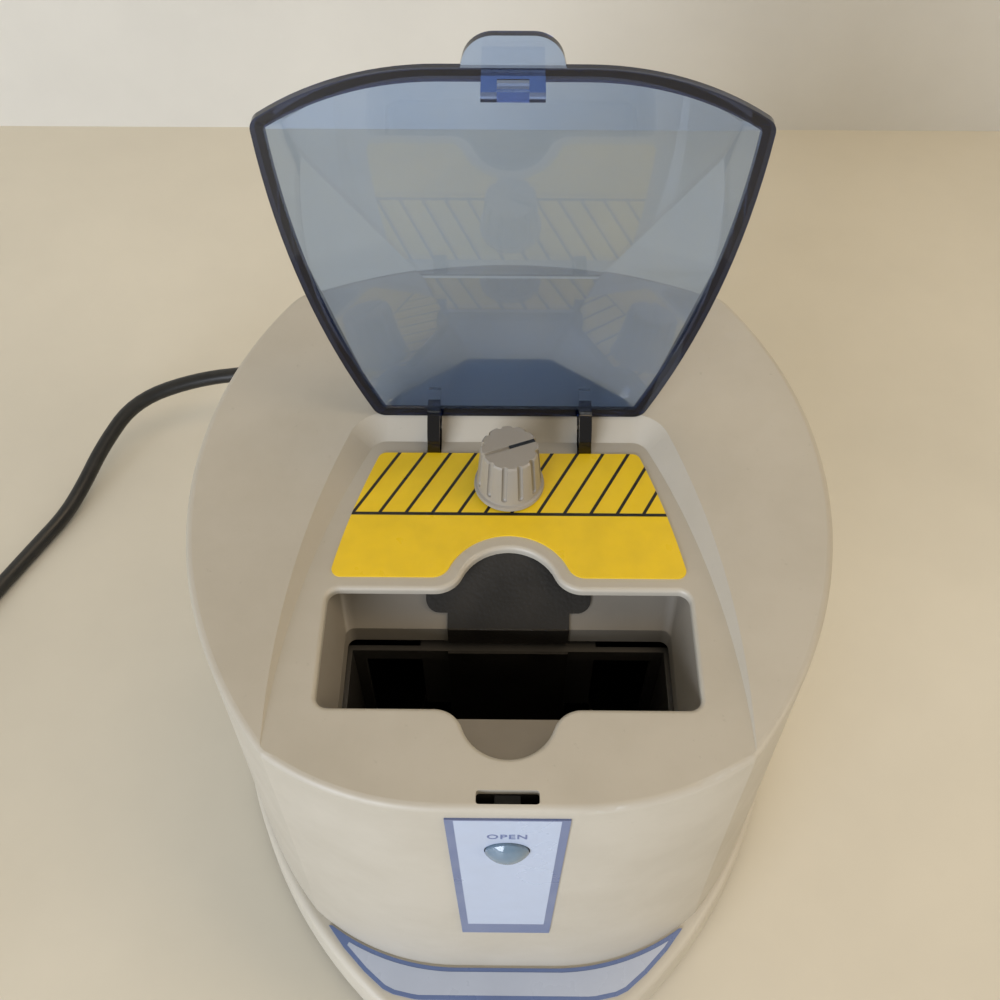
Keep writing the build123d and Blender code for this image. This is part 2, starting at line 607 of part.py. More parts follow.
def bevel_outline(inset, z):
    """The same plan run on past the rear, so that only the front and sides draw in."""
    far_y = recess_rear_y + 30
    with BuildSketch(closed.offset(z)) as sketch:
        with BuildLine():
            Line((-front_flat, front_y + lid_short), (front_flat, front_y + lid_short))
            for side in (-1, 1):
                TangentArc((side * front_flat, front_y + lid_short),
                           (side * corner_x, corner_y + lid_short), tangent=(side, 0))
                along = ThreePointArc((side * corner_x, corner_y + lid_short),
                                      (side * recess_mid_x, recess_mid_y),
                                      (side * recess_rear_x, recess_rear_y + lid_rear_reach))
                centre = along.arc_center
                far_x = centre.X + side * sqrt(along.radius ** 2 - (far_y - centre.Y) ** 2)
                mid_y = (recess_rear_y + lid_rear_reach + far_y) / 2
                mid_x = centre.X + side * sqrt(along.radius ** 2 - (mid_y - centre.Y) ** 2)
                ThreePointArc((side * recess_rear_x, recess_rear_y + lid_rear_reach),
                              (mid_x, mid_y), (far_x, far_y))
            Line((far_x, far_y), (-far_x, far_y))
        make_face()
        offset(amount=-lid_gap - inset, kind=Kind.INTERSECTION, mode=Mode.REPLACE)
        fillet([v for v in sketch.vertices() if abs(v.X) > recess_mid_x - 12 and v.Y < recess_mid_y],
               max(lid_round - inset, 1.0))
    return sketch.sketch


def lid_block(inset, edge, z):
    """Hipped dome on sloping walls, each face set in by the inset, its walls starting at the edge."""
    faces = [
        ((-20, front_y, rim_z + lid_front_rise), (20, front_y, rim_z + lid_front_rise),
         (0, lid_break_y, rim_z + lid_break_rise)),
        ((-20, lid_break_y, rim_z + lid_break_rise), (20, lid_break_y, rim_z + lid_break_rise),
         (0, recess_rear_y, rim_z + lid_rear_rise)),
        ((0, lid_rear, rim_z), (-20, lid_rear, rim_z),
         (0, lid_rear - lid_rear_lean, rim_z + lid_rear_rise)),
    ]
    for side in (-1, 1):
        faces.append(((side * (corner_x - lid_gap), corner_y + lid_gap,
                       rim_z + facet_front_rise),
                      (side * (recess_rear_x - lid_gap), recess_rear_y - lid_gap,
                       rim_z + facet_rear_rise),
                      (side * ridge_x, lid_break_y, rim_z + lid_break_rise)))
    middle = closed.from_local_coords((0, -30, rim_z))
    bevel_z = rim_z + rim_height
    with BuildPart() as block:
        extrude(bevel_outline(edge, z), amount=bevel_z - z)
        loft([bevel_outline(edge, bevel_z), bevel_outline(edge + bevel_run, bevel_z + bevel_rise)],
             ruled=True)
        extrude(bevel_outline(edge + bevel_run, bevel_z + bevel_rise), amount=lid_rear_rise)
        for points in faces:
            a, b, c = [closed.from_local_coords(p) for p in points]
            normal = (b - a).cross(c - a)
            if normal.dot(a - middle) < 0:
                normal = normal * -1
            split(bisect_by=Plane(origin=a, z_dir=normal).offset(-inset), keep=Keep.BOTTOM)
    return block.part


lid_rear = recess_rear_y + lid_rear_reach - lid_gap
lid_front = front_y + lid_short + lid_gap
with BuildPart() as lid:
    add(lid_block(0, bevel_inset, rim_z + rim_height / 2))
    extrude(lid_outline(0, rim_z), amount=rim_height)
    add(lid_block(lid_wall, rim_width, rim_z + rim_height / 2), mode=Mode.SUBTRACT)
    extrude(lid_outline(rim_width, rim_z - 1), amount=rim_height + 1, mode=Mode.SUBTRACT)
    # finger tab
    with BuildSketch(closed.offset(rim_z)) as face:
        tab_y = lid_front
        with BuildLine():
            Polyline((-tab_x, tab_y + 1), (-tab_x, tab_y), (-tab_tip_x, tab_y - tab_reach),
                     (tab_tip_x, tab_y - tab_reach), (tab_x, tab_y), (tab_x, tab_y + 1),
                     close=True)
        make_face()
        fillet([v for v in face.vertices() if v.Y < tab_y - 1], tab_round)
    extrude(amount=tab_thick)
    # latch tongue with its window
    with BuildSketch(closed.offset(rim_z - tongue_drop)):
        with Locations((0, (tongue_front + tongue_rear) / 2)):
            Rectangle(2 * tongue_x, tongue_rear - tongue_front)
    extrude(amount=tongue_drop + rim_height - 0.2)
    with BuildSketch(closed.offset(rim_z - window_low)):
        with Locations((0, (tongue_front + tongue_rear) / 2)):
            Rectangle(2 * window_x, tongue_rear - tongue_front + 1)
    extrude(amount=window_low - window_top, mode=Mode.SUBTRACT)
    # two curved arms under the rear rim, each with a hub on the hinge axis
    for side in (-1, 1):
        with BuildSketch(lid_side(side * arm_x)):
            with BuildLine():
                outer = CenterArc((hinge_y, hinge_z), arm_outer, arm_start, arm_sweep)
                inner = CenterArc((hinge_y, hinge_z), arm_inner, arm_start, arm_sweep)
                Line(outer @ 0, inner @ 0)
                Line(outer @ 1, inner @ 1)
            make_face()
            with Locations((hinge_y, hinge_z)):
                Circle(hub_r)
                Rectangle((arm_inner + arm_outer) / 2, spoke_width,
                          rotation=arm_start + arm_sweep - spoke_back,
                          align=(Align.MIN, Align.CENTER))
            with Locations((hinge_y - arm_outer, rim_z)):
                Rectangle(arm_pad, arm_rise, align=(Align.MIN, Align.MIN))
        extrude(amount=arm_width / 2, both=True)
    with BuildSketch(lid_side(0)):
        with Locations((hinge_y, hinge_z)):
            Circle(pin_r + running)
    extrude(amount=arm_x + arm_width, both=True, mode=Mode.SUBTRACT)
    print("lid", lid.part.volume, lid.part.is_valid, len(lid.solids()))
save(lid, "lid")

for name, side in (("hinge_pin_left", -1), ("hinge_pin_right", 1)):
    with BuildPart() as pin:
        with BuildSketch(Plane.YZ.offset(side * arm_x)):
            with Locations((hinge_y, hinge_z)):
                Circle(pin_r)
        extrude(amount=ear_offset + ear_thick / 2, both=True)
    save(pin, name)

# ---- latch behind the front wall -------------------------------------------------------------
with BuildPart() as open_button:
    with BuildSketch(Plane.YZ) as profile:
        with BuildLine():
            Polyline((stem_rear, button_z), (stem_rear, button_z + stem_r),
                     (flange_back, button_z + stem_r), (flange_back, button_z + flange_r),
                     (flange_face, button_z + flange_r), (flange_face, button_z + button_r),
                     (button_edge, button_z + button_r))
            dome = button_edge - button_face
            dome_r = (button_r ** 2 + dome ** 2) / (2 * dome)
            via_y = button_face + dome_r - sqrt(dome_r ** 2 - button_r ** 2 / 4)
            ThreePointArc((button_edge, button_z + button_r), (via_y, button_z + button_r / 2),
                          (button_face, button_z))
            Line((button_face, button_z), (stem_rear, button_z))
        make_face()
    revolve(axis=Axis((0, 0, button_z), (0, 1, 0)))
save(open_button, "open_button")

with BuildPart() as latch_slide:
    with BuildSketch(front_plane(slide_front)):
        with Locations((0, slide_low)):
            Rectangle(2 * slide_x, slide_top - slide_low, align=(Align.CENTER, Align.MIN))
    extrude(amount=-slide_thick)
    with BuildSketch(Plane.YZ):
        with BuildLine():
            Polyline((slide_front + 0.5, nose_low), (nose_tip, nose_low),
                     (nose_tip, nose_low + 0.8), (slide_front + 0.5, nose_top), close=True)
        make_face()
    extrude(amount=nose_x, both=True)
save(latch_slide, "latch_slide")

with BuildPart() as latch_bracket:
    with BuildSketch(Plane.XY.offset(bracket_low)):
        with Locations((0, bracket_rear)):
            Rectangle(2 * bracket_x, bracket_rear - front_wall_in,
                      align=(Align.CENTER, Align.MAX))
        with Locations((0, bracket_rear - bracket_wall)):
            Rectangle(2 * (slide_x + part_gap), 40, align=(Align.CENTER, Align.MAX),
                      mode=Mode.SUBTRACT)
    extrude(amount=bracket_height)
save(latch_bracket, "latch_bracket")

spring_front = slide_front + slide_thick
spring_rear = bracket_rear - bracket_wall
with BuildPart() as latch_spring:
    with BuildSketch(front_plane(spring_front)):
        with Locations((0, button_z)):
            Circle(spring_r)
            Circle(spring_r - spring_wire, mode=Mode.SUBTRACT)
    extrude(amount=-(spring_rear - spring_front))
save(latch_spring, "latch_spring")

with BuildPart() as circuit_board:
    with BuildSketch(front_plane(board_front)):
        with Locations((0, sum(board_peg_z) / 2)):
            Rectangle(2 * board_peg_x + 8, board_peg_z[1] - board_peg_z[0] + 8)
    extrude(amount=-board_thick)
    with BuildSketch(front_plane(board_front + board_thick)):
        with Locations((-14, 60), (12, 76)):
            Rectangle(16, 12)
    extrude(amount=-3)
save(circuit_board, "circuit_board")

# ---- rotor, turning about the origin's upright axis --------------------------------------------
knob_low = deck_z + plate_thick + part_gap
knob_top = knob_low + knob_height
side_lean = atan2(knob_waist_r - knob_top_r, knob_height - knob_rim)
with BuildPart() as knob:
    with BuildSketch(Plane.XZ):
        with BuildLine():
            Polyline((0, knob_low), (knob_skirt_r - 0.4, knob_low),
                     (knob_skirt_r, knob_low + 0.5), (knob_skirt_r - 0.15, knob_low + knob_rim),
                     (knob_waist_r, knob_low + knob_rim + 0.3),
                     (knob_top_r + 0.3, knob_top - 0.5), (knob_top_r - 0.2, knob_top),
                     (0, knob_top), close=True)
        make_face()
    revolve(axis=Axis.Z)
    with BuildSketch(Plane.XY.offset(knob_low - 1)):
        Circle(shaft_r + seat_gap)
    extrude(amount=shaft_top - knob_low + 1.1, mode=Mode.SUBTRACT)
    # flutes that run out at the top and end round at the bottom
    flute_r = knob_waist_r + 0.1
    for number in range(flute_count):
        turn = radians(pointer_turn + 360 / flute_count * number)
        outward = Vector(cos(turn), sin(turn), 0)
        foot_point = outward * (flute_r - flute_low * tan(side_lean)) + \
            Vector(0, 0, knob_low + knob_rim + flute_low)
        along = Vector(0, 0, cos(side_lean)) - outward * sin(side_lean)
        with BuildSketch(Plane(origin=foot_point, z_dir=along)):
            Circle(flute_width / 2)
        extrude(amount=knob_height, mode=Mode.SUBTRACT)
        with Locations(foot_point):
            Sphere(flute_width / 2, mode=Mode.SUBTRACT)
    with BuildSketch(Plane.XY.offset(knob_top - groove_depth)):
        Rectangle(2 * knob_skirt_r, groove_width, rotation=pointer_turn)
    extrude(amount=groove_depth + 1, mode=Mode.SUBTRACT)
    print("knob", knob.part.volume, knob.part.is_valid, len(knob.solids()))
save(knob, "knob")

with BuildPart() as knob_pointer:
    with BuildSketch(Plane.XY.offset(knob_top - groove_depth)):
        Rectangle(knob_top_r - 0.3, groove_width - 2 * seat_gap, rotation=pointer_turn,
                  align=(Align.MIN, Align.CENTER))
    extrude(amount=groove_depth - 0.05)
save(knob_pointer, "knob_pointer")

with BuildPart() as rotor_shaft:
    with Locations((0, 0, shaft_low)):
        Cylinder(shaft_r, shaft_top - shaft_low, align=(Align.CENTER, Align.CENTER, Align.MIN))
    chamfer(rotor_shaft.edges().group_by(Axis.Z)[-1], 0.4)
save(rotor_shaft, "rotor_shaft")

with BuildPart() as deck_bushing:
    with Locations((0, 0, under_z - bushing_flange)):
        Cylinder(bushing_r + 2, bushing_flange, align=(Align.CENTER, Align.CENTER, Align.MIN))
        Cylinder(bushing_r - seat_gap, bushing_flange + wall,
                 align=(Align.CENTER, Align.CENTER, Align.MIN))
        Cylinder(shaft_r + running, 20, align=(Align.CENTER, Align.CENTER, Align.MIN),
                 mode=Mode.SUBTRACT)
save(deck_bushing, "deck_bushing")

pocket_outer_x = pocket_x / 2 + pocket_wall
pocket_low = rotor_top - pocket_depth - pocket_wall
hub_y = -(pocket_rear + pocket_wall)
with BuildPart() as rotor_hub:
    with BuildSketch(Plane.XY.offset(hub_low)) as face:
        Rectangle(2 * hub_x, 2 * hub_y)
    extrude(amount=rotor_top - hub_low)
    with BuildSketch(Plane.XY.offset(hub_low - 1)) as face:
        Rectangle(2 * (hub_x - hub_wall), 2 * (hub_y - hub_wall))
        Circle(collar_r, mode=Mode.SUBTRACT)
    extrude(amount=rotor_top - hub_low + 1 - hub_wall, mode=Mode.SUBTRACT)
    with BuildSketch(Plane.XY.offset(hub_low - 6)):
        Circle(collar_r)
    extrude(amount=rotor_top - hub_low)
    with BuildSketch(Plane.XY.offset(hub_low - 10)):
        Circle(shaft_r + seat_gap)
    extrude(amount=80, mode=Mode.SUBTRACT)
save(rotor_hub, "rotor_hub")

for name, side in (("front", -1), ("rear", 1)):
    def depth(y):
        """Mirror a front pocket's y for the rear one."""
        return -side * y

    low, high = sorted((depth(pocket_front - pocket_wall), depth(pocket_rear + pocket_wall)))
    with BuildPart() as pocket:
        with BuildSketch(Plane.XY.offset(pocket_low)) as face:
            with Locations((0, (low + high) / 2)):
                Rectangle(2 * pocket_outer_x, high - low)
            outer = face.vertices().sort_by(Axis.Y)
            fillet(outer[:2] if side < 0 else outer[-2:], pocket_round)
        extrude(amount=rotor_top - pocket_low)
        with BuildSketch(Plane.XY.offset(pocket_low + pocket_wall)) as face:
            with Locations((0, (depth(pocket_front) + depth(pocket_rear)) / 2)):
                Rectangle(pocket_x, pocket_rear - pocket_front)
            outer = face.vertices().sort_by(Axis.Y)
            fillet(outer[:2] if side < 0 else outer[-2:], pocket_round - pocket_wall)
        extrude(amount=rotor_top, mode=Mode.SUBTRACT)
        # windows in the inner wall, beside the strap
        for across in (-1, 1):
            with Locations((across * (window_in + window_out) / 2,
                            depth(pocket_rear + pocket_wall / 2),
                            (window_floor + window_ceiling) / 2)):
                Box(window_out - window_in, 2 * pocket_wall, window_ceiling - window_floor,
                    mode=Mode.SUBTRACT)
    save(pocket, f"pocket_{name}")
    with BuildPart() as strap:
        with Locations((0, depth(pocket_rear - leaf_thick / 2), rotor_top)):
            Box(2 * leaf_strip_x, leaf_thick, strap_length,
                align=(Align.CENTER, Align.CENTER, Align.MAX))
    save(strap, f"strap_{name}")

# ---- bowl and motor ----------------------------------------------------------------------------
with BuildPart() as bowl:
    with BuildSketch(Plane.XY.offset(bowl_low)):
        Circle(bowl_r + bowl_wall)
    extrude(amount=bowl_top - bowl_low)
    with BuildSketch(Plane.XY.offset(bowl_low + bowl_wall)):
        Circle(bowl_r)
    extrude(amount=bowl_top, mode=Mode.SUBTRACT)
    with BuildSketch(Plane.XY.offset(bowl_low - 1)):
        Circle(bowl_hole_r)
    extrude(amount=10, mode=Mode.SUBTRACT)
save(bowl, "bowl")

mount_low = motor_low - mount_thick
with BuildPart() as motor_mount:
    with Locations((0, 0, mount_low)):
        Cylinder(mount_r, mount_thick, align=(Align.CENTER, Align.CENTER, Align.MIN))
save(motor_mount, "motor_mount")

for number, (x, y) in enumerate([(isolator_at, isolator_at), (-isolator_at, isolator_at),
                                 (-isolator_at, -isolator_at), (isolator_at, -isolator_at)], 1):
    with BuildPart() as isolator:
        with Locations((x, y, floor_top)):
            Cylinder(isolator_r, mount_low - floor_top,
                     align=(Align.CENTER, Align.CENTER, Align.MIN))
    save(isolator, f"isolator_{number}")

with BuildPart() as motor:
    with Locations((0, 0, motor_low)):
        Cylinder(motor_r, motor_top - motor_low, align=(Align.CENTER, Align.CENTER, Align.MIN))
    fillet(motor.edges().group_by(Axis.Z)[-1], 3)
    fillet(motor.edges().group_by(Axis.Z)[0], 1)
    with BuildSketch(Plane.XY.offset(motor_top)):
        Circle(motor_boss_r)
    extrude(amount=4)
    with BuildSketch(Plane.XY.offset(shaft_low - 2)):
        Circle(shaft_r + running)
    extrude(amount=80, mode=Mode.SUBTRACT)
save(motor, "motor")

# ---- mains cord --------------------------------------------------------------------------------
relief_end = relief_outside + relief_length
with BuildPart() as strain_relief:
    with BuildSketch(Plane(origin=(relief_x, 0, relief_z), x_dir=(1, 0, 0), z_dir=(0, 0, 1))):
        with BuildLine():
            points = [(0, relief_seat_y - 2), (relief_hole_r + 1, relief_seat_y - 2),
                      (relief_hole_r + 1, relief_seat_y - seat_gap),
                      (relief_hole_r - seat_gap, relief_seat_y - seat_gap),
                      (relief_hole_r - seat_gap, relief_outside + seat_gap),
                      (relief_seat_r - 1, relief_outside + seat_gap),
                      (relief_seat_r - 1, relief_outside + 2)]
            step = (relief_length - 2) / relief_ribs
            for number in range(relief_ribs):
                start = relief_outside + 2 + number * step
                radius = relief_root_r - number * (relief_root_r - relief_tip_r) / relief_ribs
                points += [(radius, start), (radius, start + step * 0.6),
                           (radius - relief_groove, start + step * 0.6),
                           (radius - relief_groove, start + step)]
            points.append((0, relief_end))
            Polyline(*points, close=True)
        make_face()
    revolve(axis=Axis((relief_x, 0, relief_z), (0, 1, 0)))
    print("relief", strain_relief.part.volume, strain_relief.part.is_valid)
save(strain_relief, "strain_relief")

cord_z = cord_r + 0.05
route = [(relief_x, relief_end, relief_z), (relief_x, 147, 46), (-57, 173, 41), (-88, 183, 33),
         (-121, 181, 28), (-152, 173, 26), (-181, 161, 23), (-194, 139, 15), (-201, 121, 8),
         (-207, 106, 4.6), (-216, 90, cord_z), (-229, 64, cord_z), (-243, 34, cord_z),
         (coil_x + coil_r, 2, cord_z), (coil_x + coil_r, coil_y + 2 * cord_r, cord_z)]


def cord_tube(name, points):
    """Tube along straight runs joined by arcs as large as the runs allow."""
    points = [Vector(*point) for point in points]
    radii = []
    for before, here, after in zip(points, points[1:], points[2:]):
        turn = (here - before).get_angle(after - here)
        shorter = min((here - before).length, (after - here).length)
        radii.append(0.45 * shorter / tan(radians(turn) / 2))
    with BuildPart() as tube:
        with BuildLine() as path:
            FilletPolyline(*points, radius=radii)
        way = path.wire()
        with BuildSketch(Plane(origin=way @ 0, z_dir=way % 0)):
            Circle(cord_r)
        sweep(path=way)
    length = way.length
    print(name, "radii", [round(radius) for radius in radii], "length", round(length),
          "volume ratio", round(tube.part.volume / (pi * cord_r ** 2 * length), 4))
    save(tube, name)


cord_tube("power_cord", route)

# the rest of the cord lies in two layers of loops, spiralling in and out again
pitch = 2 * cord_r + coil_gap
ends = [(coil_r, 0)]
radius = coil_r
for number in range(2 * coil_turns):
    ends.append((ends[-1][0] + (-2 if number % 2 == 0 else 2) * radius, 0))
    radius -= pitch / 2
climb = len(ends)
radius = ends[-1][0]
ends.append((-radius, 1))
for number in range(2 * coil_turns - 1):
    radius += pitch / 2
    ends.append((ends[-1][0] + (2 if number % 2 == 0 else -2) * radius, 1))
layer_z = [cord_z, cord_z + 2 * cord_r + layer_gap]
with BuildPart() as cord_coil:
    with BuildLine() as path:
        Line((coil_x + coil_r, coil_y + 2 * cord_r, cord_z), (coil_x + coil_r, coil_y, cord_z))
        for number, ((x1, layer1), (x2, layer2)) in enumerate(zip(ends, ends[1:])):
            rise = layer_z[layer2] - layer_z[layer1]
            bulge = sqrt((x2 - x1) ** 2 + rise ** 2) / 2 * (-1 if x2 < x1 else 1)
            ThreePointArc((coil_x + x1, coil_y, layer_z[layer1]),
                          (coil_x + (x1 + x2) / 2, coil_y + bulge,
                           (layer_z[layer1] + layer_z[layer2]) / 2),
                          (coil_x + x2, coil_y, layer_z[layer2]))
        Line((coil_x + ends[-1][0], coil_y, layer_z[1]),
             (coil_x + ends[-1][0], coil_y - 2 * cord_r, layer_z[1]))
    way = path.wire()
    with BuildSketch(Plane(origin=way @ 0, z_dir=way % 0)):
        Circle(cord_r)
    sweep(path=way)
samples = [way @ (i / 1400) for i in range(1401)]
step = way.length / 1400
least = 1000.0
for i, first in enumerate(samples):
    for second in samples[i + int(6 * cord_r / step):]:
        gap = (first - second).length
        if gap < least:
            least = gap
print("coil least gap", round(least - 2 * cord_r, 2), "length", round(way.length),
      "volume ratio", round(cord_coil.part.volume / (pi * cord_r ** 2 * way.length), 4),
      "across mid-turn", round(2 * (coil_r - coil_turns * pitch / 2) / (2 * cord_r), 1))
save(cord_coil, "cord_coil")

tail_x, tail_y = coil_x + ends[-1][0], coil_y - 2 * cord_r
tail = [(tail_x, tail_y, layer_z[1]), (tail_x, tail_y - 20, layer_z[1]),
        (tail_x + 3, tail_y - 44, plug_z), (tail_x + 3 + tail_step, tail_y - 66, plug_z)]
cord_tube("cord_tail", tail)
plug_way = (Vector(*tail[-1]) - Vector(*tail[-2])).normalized()
plug_plane = Plane(origin=tail[-1], x_dir=plug_way.cross(Vector(0, 0, 1)), z_dir=plug_way)
with BuildPart() as plug:
    with BuildSketch(plug_plane):
        RectangleRounded(plug_neck, plug_neck, 4)
    with BuildSketch(plug_plane.offset(plug_taper)):
        RectangleRounded(plug_width, plug_height, 4)
    loft(ruled=True)
    with BuildSketch(plug_plane.offset(plug_taper)):
        RectangleRounded(plug_width, plug_height, 4)
    extrude(amount=plug_length - plug_taper)
save(plug, "plug")
for name, across, up, thick, tall, reach in (
        ("plug_blade_left", -blade_x, blade_up, 1.5, 6.3, 17.5),
        ("plug_blade_right", blade_x, blade_up, 1.5, 6.3, 17.5)):
    with BuildPart() as blade:
        with BuildSketch(plug_plane.offset(plug_length)):
            with Locations((across, up)):
                Rectangle(thick, tall)
        extrude(amount=reach)
    save(blade, name)
with BuildPart() as ground_pin:
    with BuildSketch(plug_plane.offset(plug_length)):
        with Locations((0, -ground_down)):
            Circle(ground_r)
    extrude(amount=21)
    fillet(ground_pin.faces().sort_by(Axis.Y)[0].edges(), 2)
save(ground_pin, "plug_ground_pin")
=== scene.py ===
import math

import bmesh
import bpy
from mathutils import Euler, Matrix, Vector


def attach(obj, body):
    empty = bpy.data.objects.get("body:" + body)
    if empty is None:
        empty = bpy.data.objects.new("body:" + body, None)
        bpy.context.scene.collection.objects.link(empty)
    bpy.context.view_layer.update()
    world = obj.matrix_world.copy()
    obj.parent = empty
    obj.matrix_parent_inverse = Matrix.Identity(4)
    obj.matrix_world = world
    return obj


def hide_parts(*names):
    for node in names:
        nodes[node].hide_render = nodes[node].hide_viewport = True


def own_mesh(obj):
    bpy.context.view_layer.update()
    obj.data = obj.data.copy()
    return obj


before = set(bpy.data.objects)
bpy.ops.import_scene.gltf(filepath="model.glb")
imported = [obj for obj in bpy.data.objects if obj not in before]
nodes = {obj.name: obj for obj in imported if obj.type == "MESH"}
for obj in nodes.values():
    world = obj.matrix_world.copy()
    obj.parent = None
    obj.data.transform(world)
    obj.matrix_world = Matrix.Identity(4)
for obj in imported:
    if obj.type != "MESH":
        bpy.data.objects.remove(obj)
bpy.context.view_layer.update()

mm = 0.001
print("frame loaded:", len(nodes), "nodes")


def linear(hexColour):  # sRGB hex to the linear values the shader mixes
    parts = [int(hexColour[i:i + 2], 16) / 255 for i in (1, 3, 5)]
    return tuple(p / 12.92 if p <= 0.04045 else ((p + 0.055) / 1.055) ** 2.4
                 for p in parts) + (1.0,)


def connect(tree, node, sockets):  # an output socket is linked, anything else is set as a value
    for name, value in sockets.items():
        if isinstance(value, bpy.types.NodeSocket):
            tree.links.new(value, node.inputs[name])
        else:
            node.inputs[name].default_value = value


def add(tree, kind, sockets=None, output=0, **settings):  # one node; gives its output socket
    node = tree.nodes.new("ShaderNode" + kind)
    for name, value in settings.items():
        setattr(node, name, value)
    connect(tree, node, sockets or {})
    return node.outputs[output]


def newMaterial(name):
    material = bpy.data.materials.new(name)
    material.use_nodes = True
    tree = material.node_tree
    place = add(tree, "TexCoord", output="Object")
    return material, tree, tree.nodes["Principled BSDF"], place


# Sockets by number: MapRange has 0 value, 1 and 2 from, 3 and 4 to. Mix has 0 share, 6 and 7
# colours, and gives output 2.

# Moulded plastics: a mould with a fine spark-eroded grain leaves soft, wide highlights.
mouldedPlastics = {
    # name: colour, blotch colour, roughness, grain in mm, grain height, blotch share
    "absHousing": ("#b7b1a4", "#a8a192", 0.42, 0.55, 0.10, 0.55),
    "absBase": ("#c4beb0", "#b5aea0", 0.40, 0.60, 0.10, 0.55),
    "absWell": ("#8d867b", "#7b756a", 0.45, 0.60, 0.12, 0.55),
    "absKnob": ("#999389", "#8b857b", 0.36, 0.50, 0.07, 0.40),
    "nylonLatch": ("#232427", "#2f3033", 0.45, 0.50, 0.10, 0.40),
    "absRotor": ("#33312e", "#444039", 0.40, 0.70, 0.12, 0.50),
    "absBowl": ("#3d3b38", "#4b4843", 0.48, 0.70, 0.12, 0.50),
    "pvcPlug": ("#141414", "#1f1f1f", 0.42, 0.50, 0.12, 0.35),
}
plasticWear = {"patch": 45, "speck": 2.2, "dust": "#6f6655", "dustShare": 0.22, "relief": 0.12,
               "ior": 1.53}


def mouldedPlastic(name):
    colour, blotch, roughness, grain, height, share = mouldedPlastics[name]
    material, tree, shader, place = newMaterial(name)
    # handled plastic is never one even tone: broad soft patches, and fine specks of dust
    patches = add(tree, "TexNoise", {"Vector": place, "Scale": 1 / (plasticWear["patch"] * mm),
                                     "Detail": 5.0, "Roughness": 0.6})
    patchShare = add(tree, "MapRange", {0: patches, 1: 0.38, 2: 0.68, 4: share})
    tone = add(tree, "Mix", {0: patchShare, 6: linear(colour), 7: linear(blotch)}, 2,
               data_type="RGBA")
    specks = add(tree, "TexNoise", {"Vector": place, "Scale": 1 / (plasticWear["speck"] * mm),
                                    "Detail": 3.0, "Roughness": 0.7})
    dustShare = add(tree, "MapRange", {0: specks, 1: 0.66, 2: 0.80, 4: plasticWear["dustShare"]})
    tone = add(tree, "Mix", {0: dustShare, 6: tone, 7: linear(plasticWear["dust"])}, 2,
               data_type="RGBA")
    rough = add(tree, "MapRange", {0: patches, 1: 0.3, 2: 0.7, 3: roughness - 0.05,
                                   4: roughness + 0.08})
    # the real grain is about 0.1 mm, drawn coarser so that it shows
    pits = add(tree, "TexNoise", {"Vector": place, "Scale": 1 / (grain * mm), "Detail": 2.0})
    bump = add(tree, "Bump", {"Strength": height, "Distance": plasticWear["relief"] * mm,
                              "Height": pits})
    connect(tree, shader, {"Base Color": tone, "Roughness": rough, "Normal": bump,
                           "IOR": plasticWear["ior"]})
    return material


plastics = {name: mouldedPlastic(name) for name in mouldedPlastics}
print("moulded plastics:", len(plastics))

# Metals: ground, drawn or turned, so fine lines run one way and stretch the highlights across them.
metals = {
    # name: colour, roughness, line spacing in mm, how far the lines are drawn out in x, y, z
    "groundSteel": ("#b9b8b4", 0.24, 0.25, (1, 1, 8)),
    "zincScrew": ("#a9a9a4", 0.34, 0.40, (1, 1, 1)),
    "drawnCan": ("#8f908e", 0.38, 0.50, (8, 8, 1)),
    "platedSheet": ("#77787a", 0.42, 0.60, (1, 6, 1)),
    "turnedBrass": ("#b99a5b", 0.28, 0.20, (1, 1, 8)),
    "nickelBlade": ("#c9c4b8", 0.20, 0.35, (6, 1, 1)),
}
metalWear = {"groove": "#4c4b48", "grooveShare": 0.35, "relief": 0.05}


def metal(name):
    colour, roughness, spacing, way = metals[name]
    material, tree, shader, place = newMaterial(name)
    run = add(tree, "Mapping", {"Vector": place, "Scale": [1 / w for w in way]})
    lines = add(tree, "TexNoise", {"Vector": run, "Scale": 1 / (spacing * mm), "Detail": 3.0})
    grooves = add(tree, "MapRange", {0: lines, 1: 0.35, 2: 0.7, 4: metalWear["grooveShare"]})
    tone = add(tree, "Mix", {0: grooves, 6: linear(colour), 7: linear(metalWear["groove"])}, 2,
               data_type="RGBA")
    rough = add(tree, "MapRange", {0: lines, 1: 0.3, 2: 0.7, 3: roughness - 0.06,
                                   4: roughness + 0.1})
    bump = add(tree, "Bump", {"Strength": 0.12, "Distance": metalWear["relief"] * mm,
                              "Height": lines})
    connect(tree, shader, {"Base Color": tone, "Roughness": rough, "Normal": bump,
                           "Metallic": 1.0})
    return material


metalOf = {name: metal(name) for name in metals}

# Rubbers: pale dust clings to them, so patches turn matt and grey.
rubbers = {
    # name: colour, dust colour, roughness, pebble in mm
    "cableJacket": ("#121212", "#2a2926", 0.38, 0.9),
    "footRubber": ("#171717", "#302e2a", 0.62, 0.6),
}
rubberWear = {"patch": 14, "dustShare": 0.6, "relief": 0.1, "ior": 1.52}


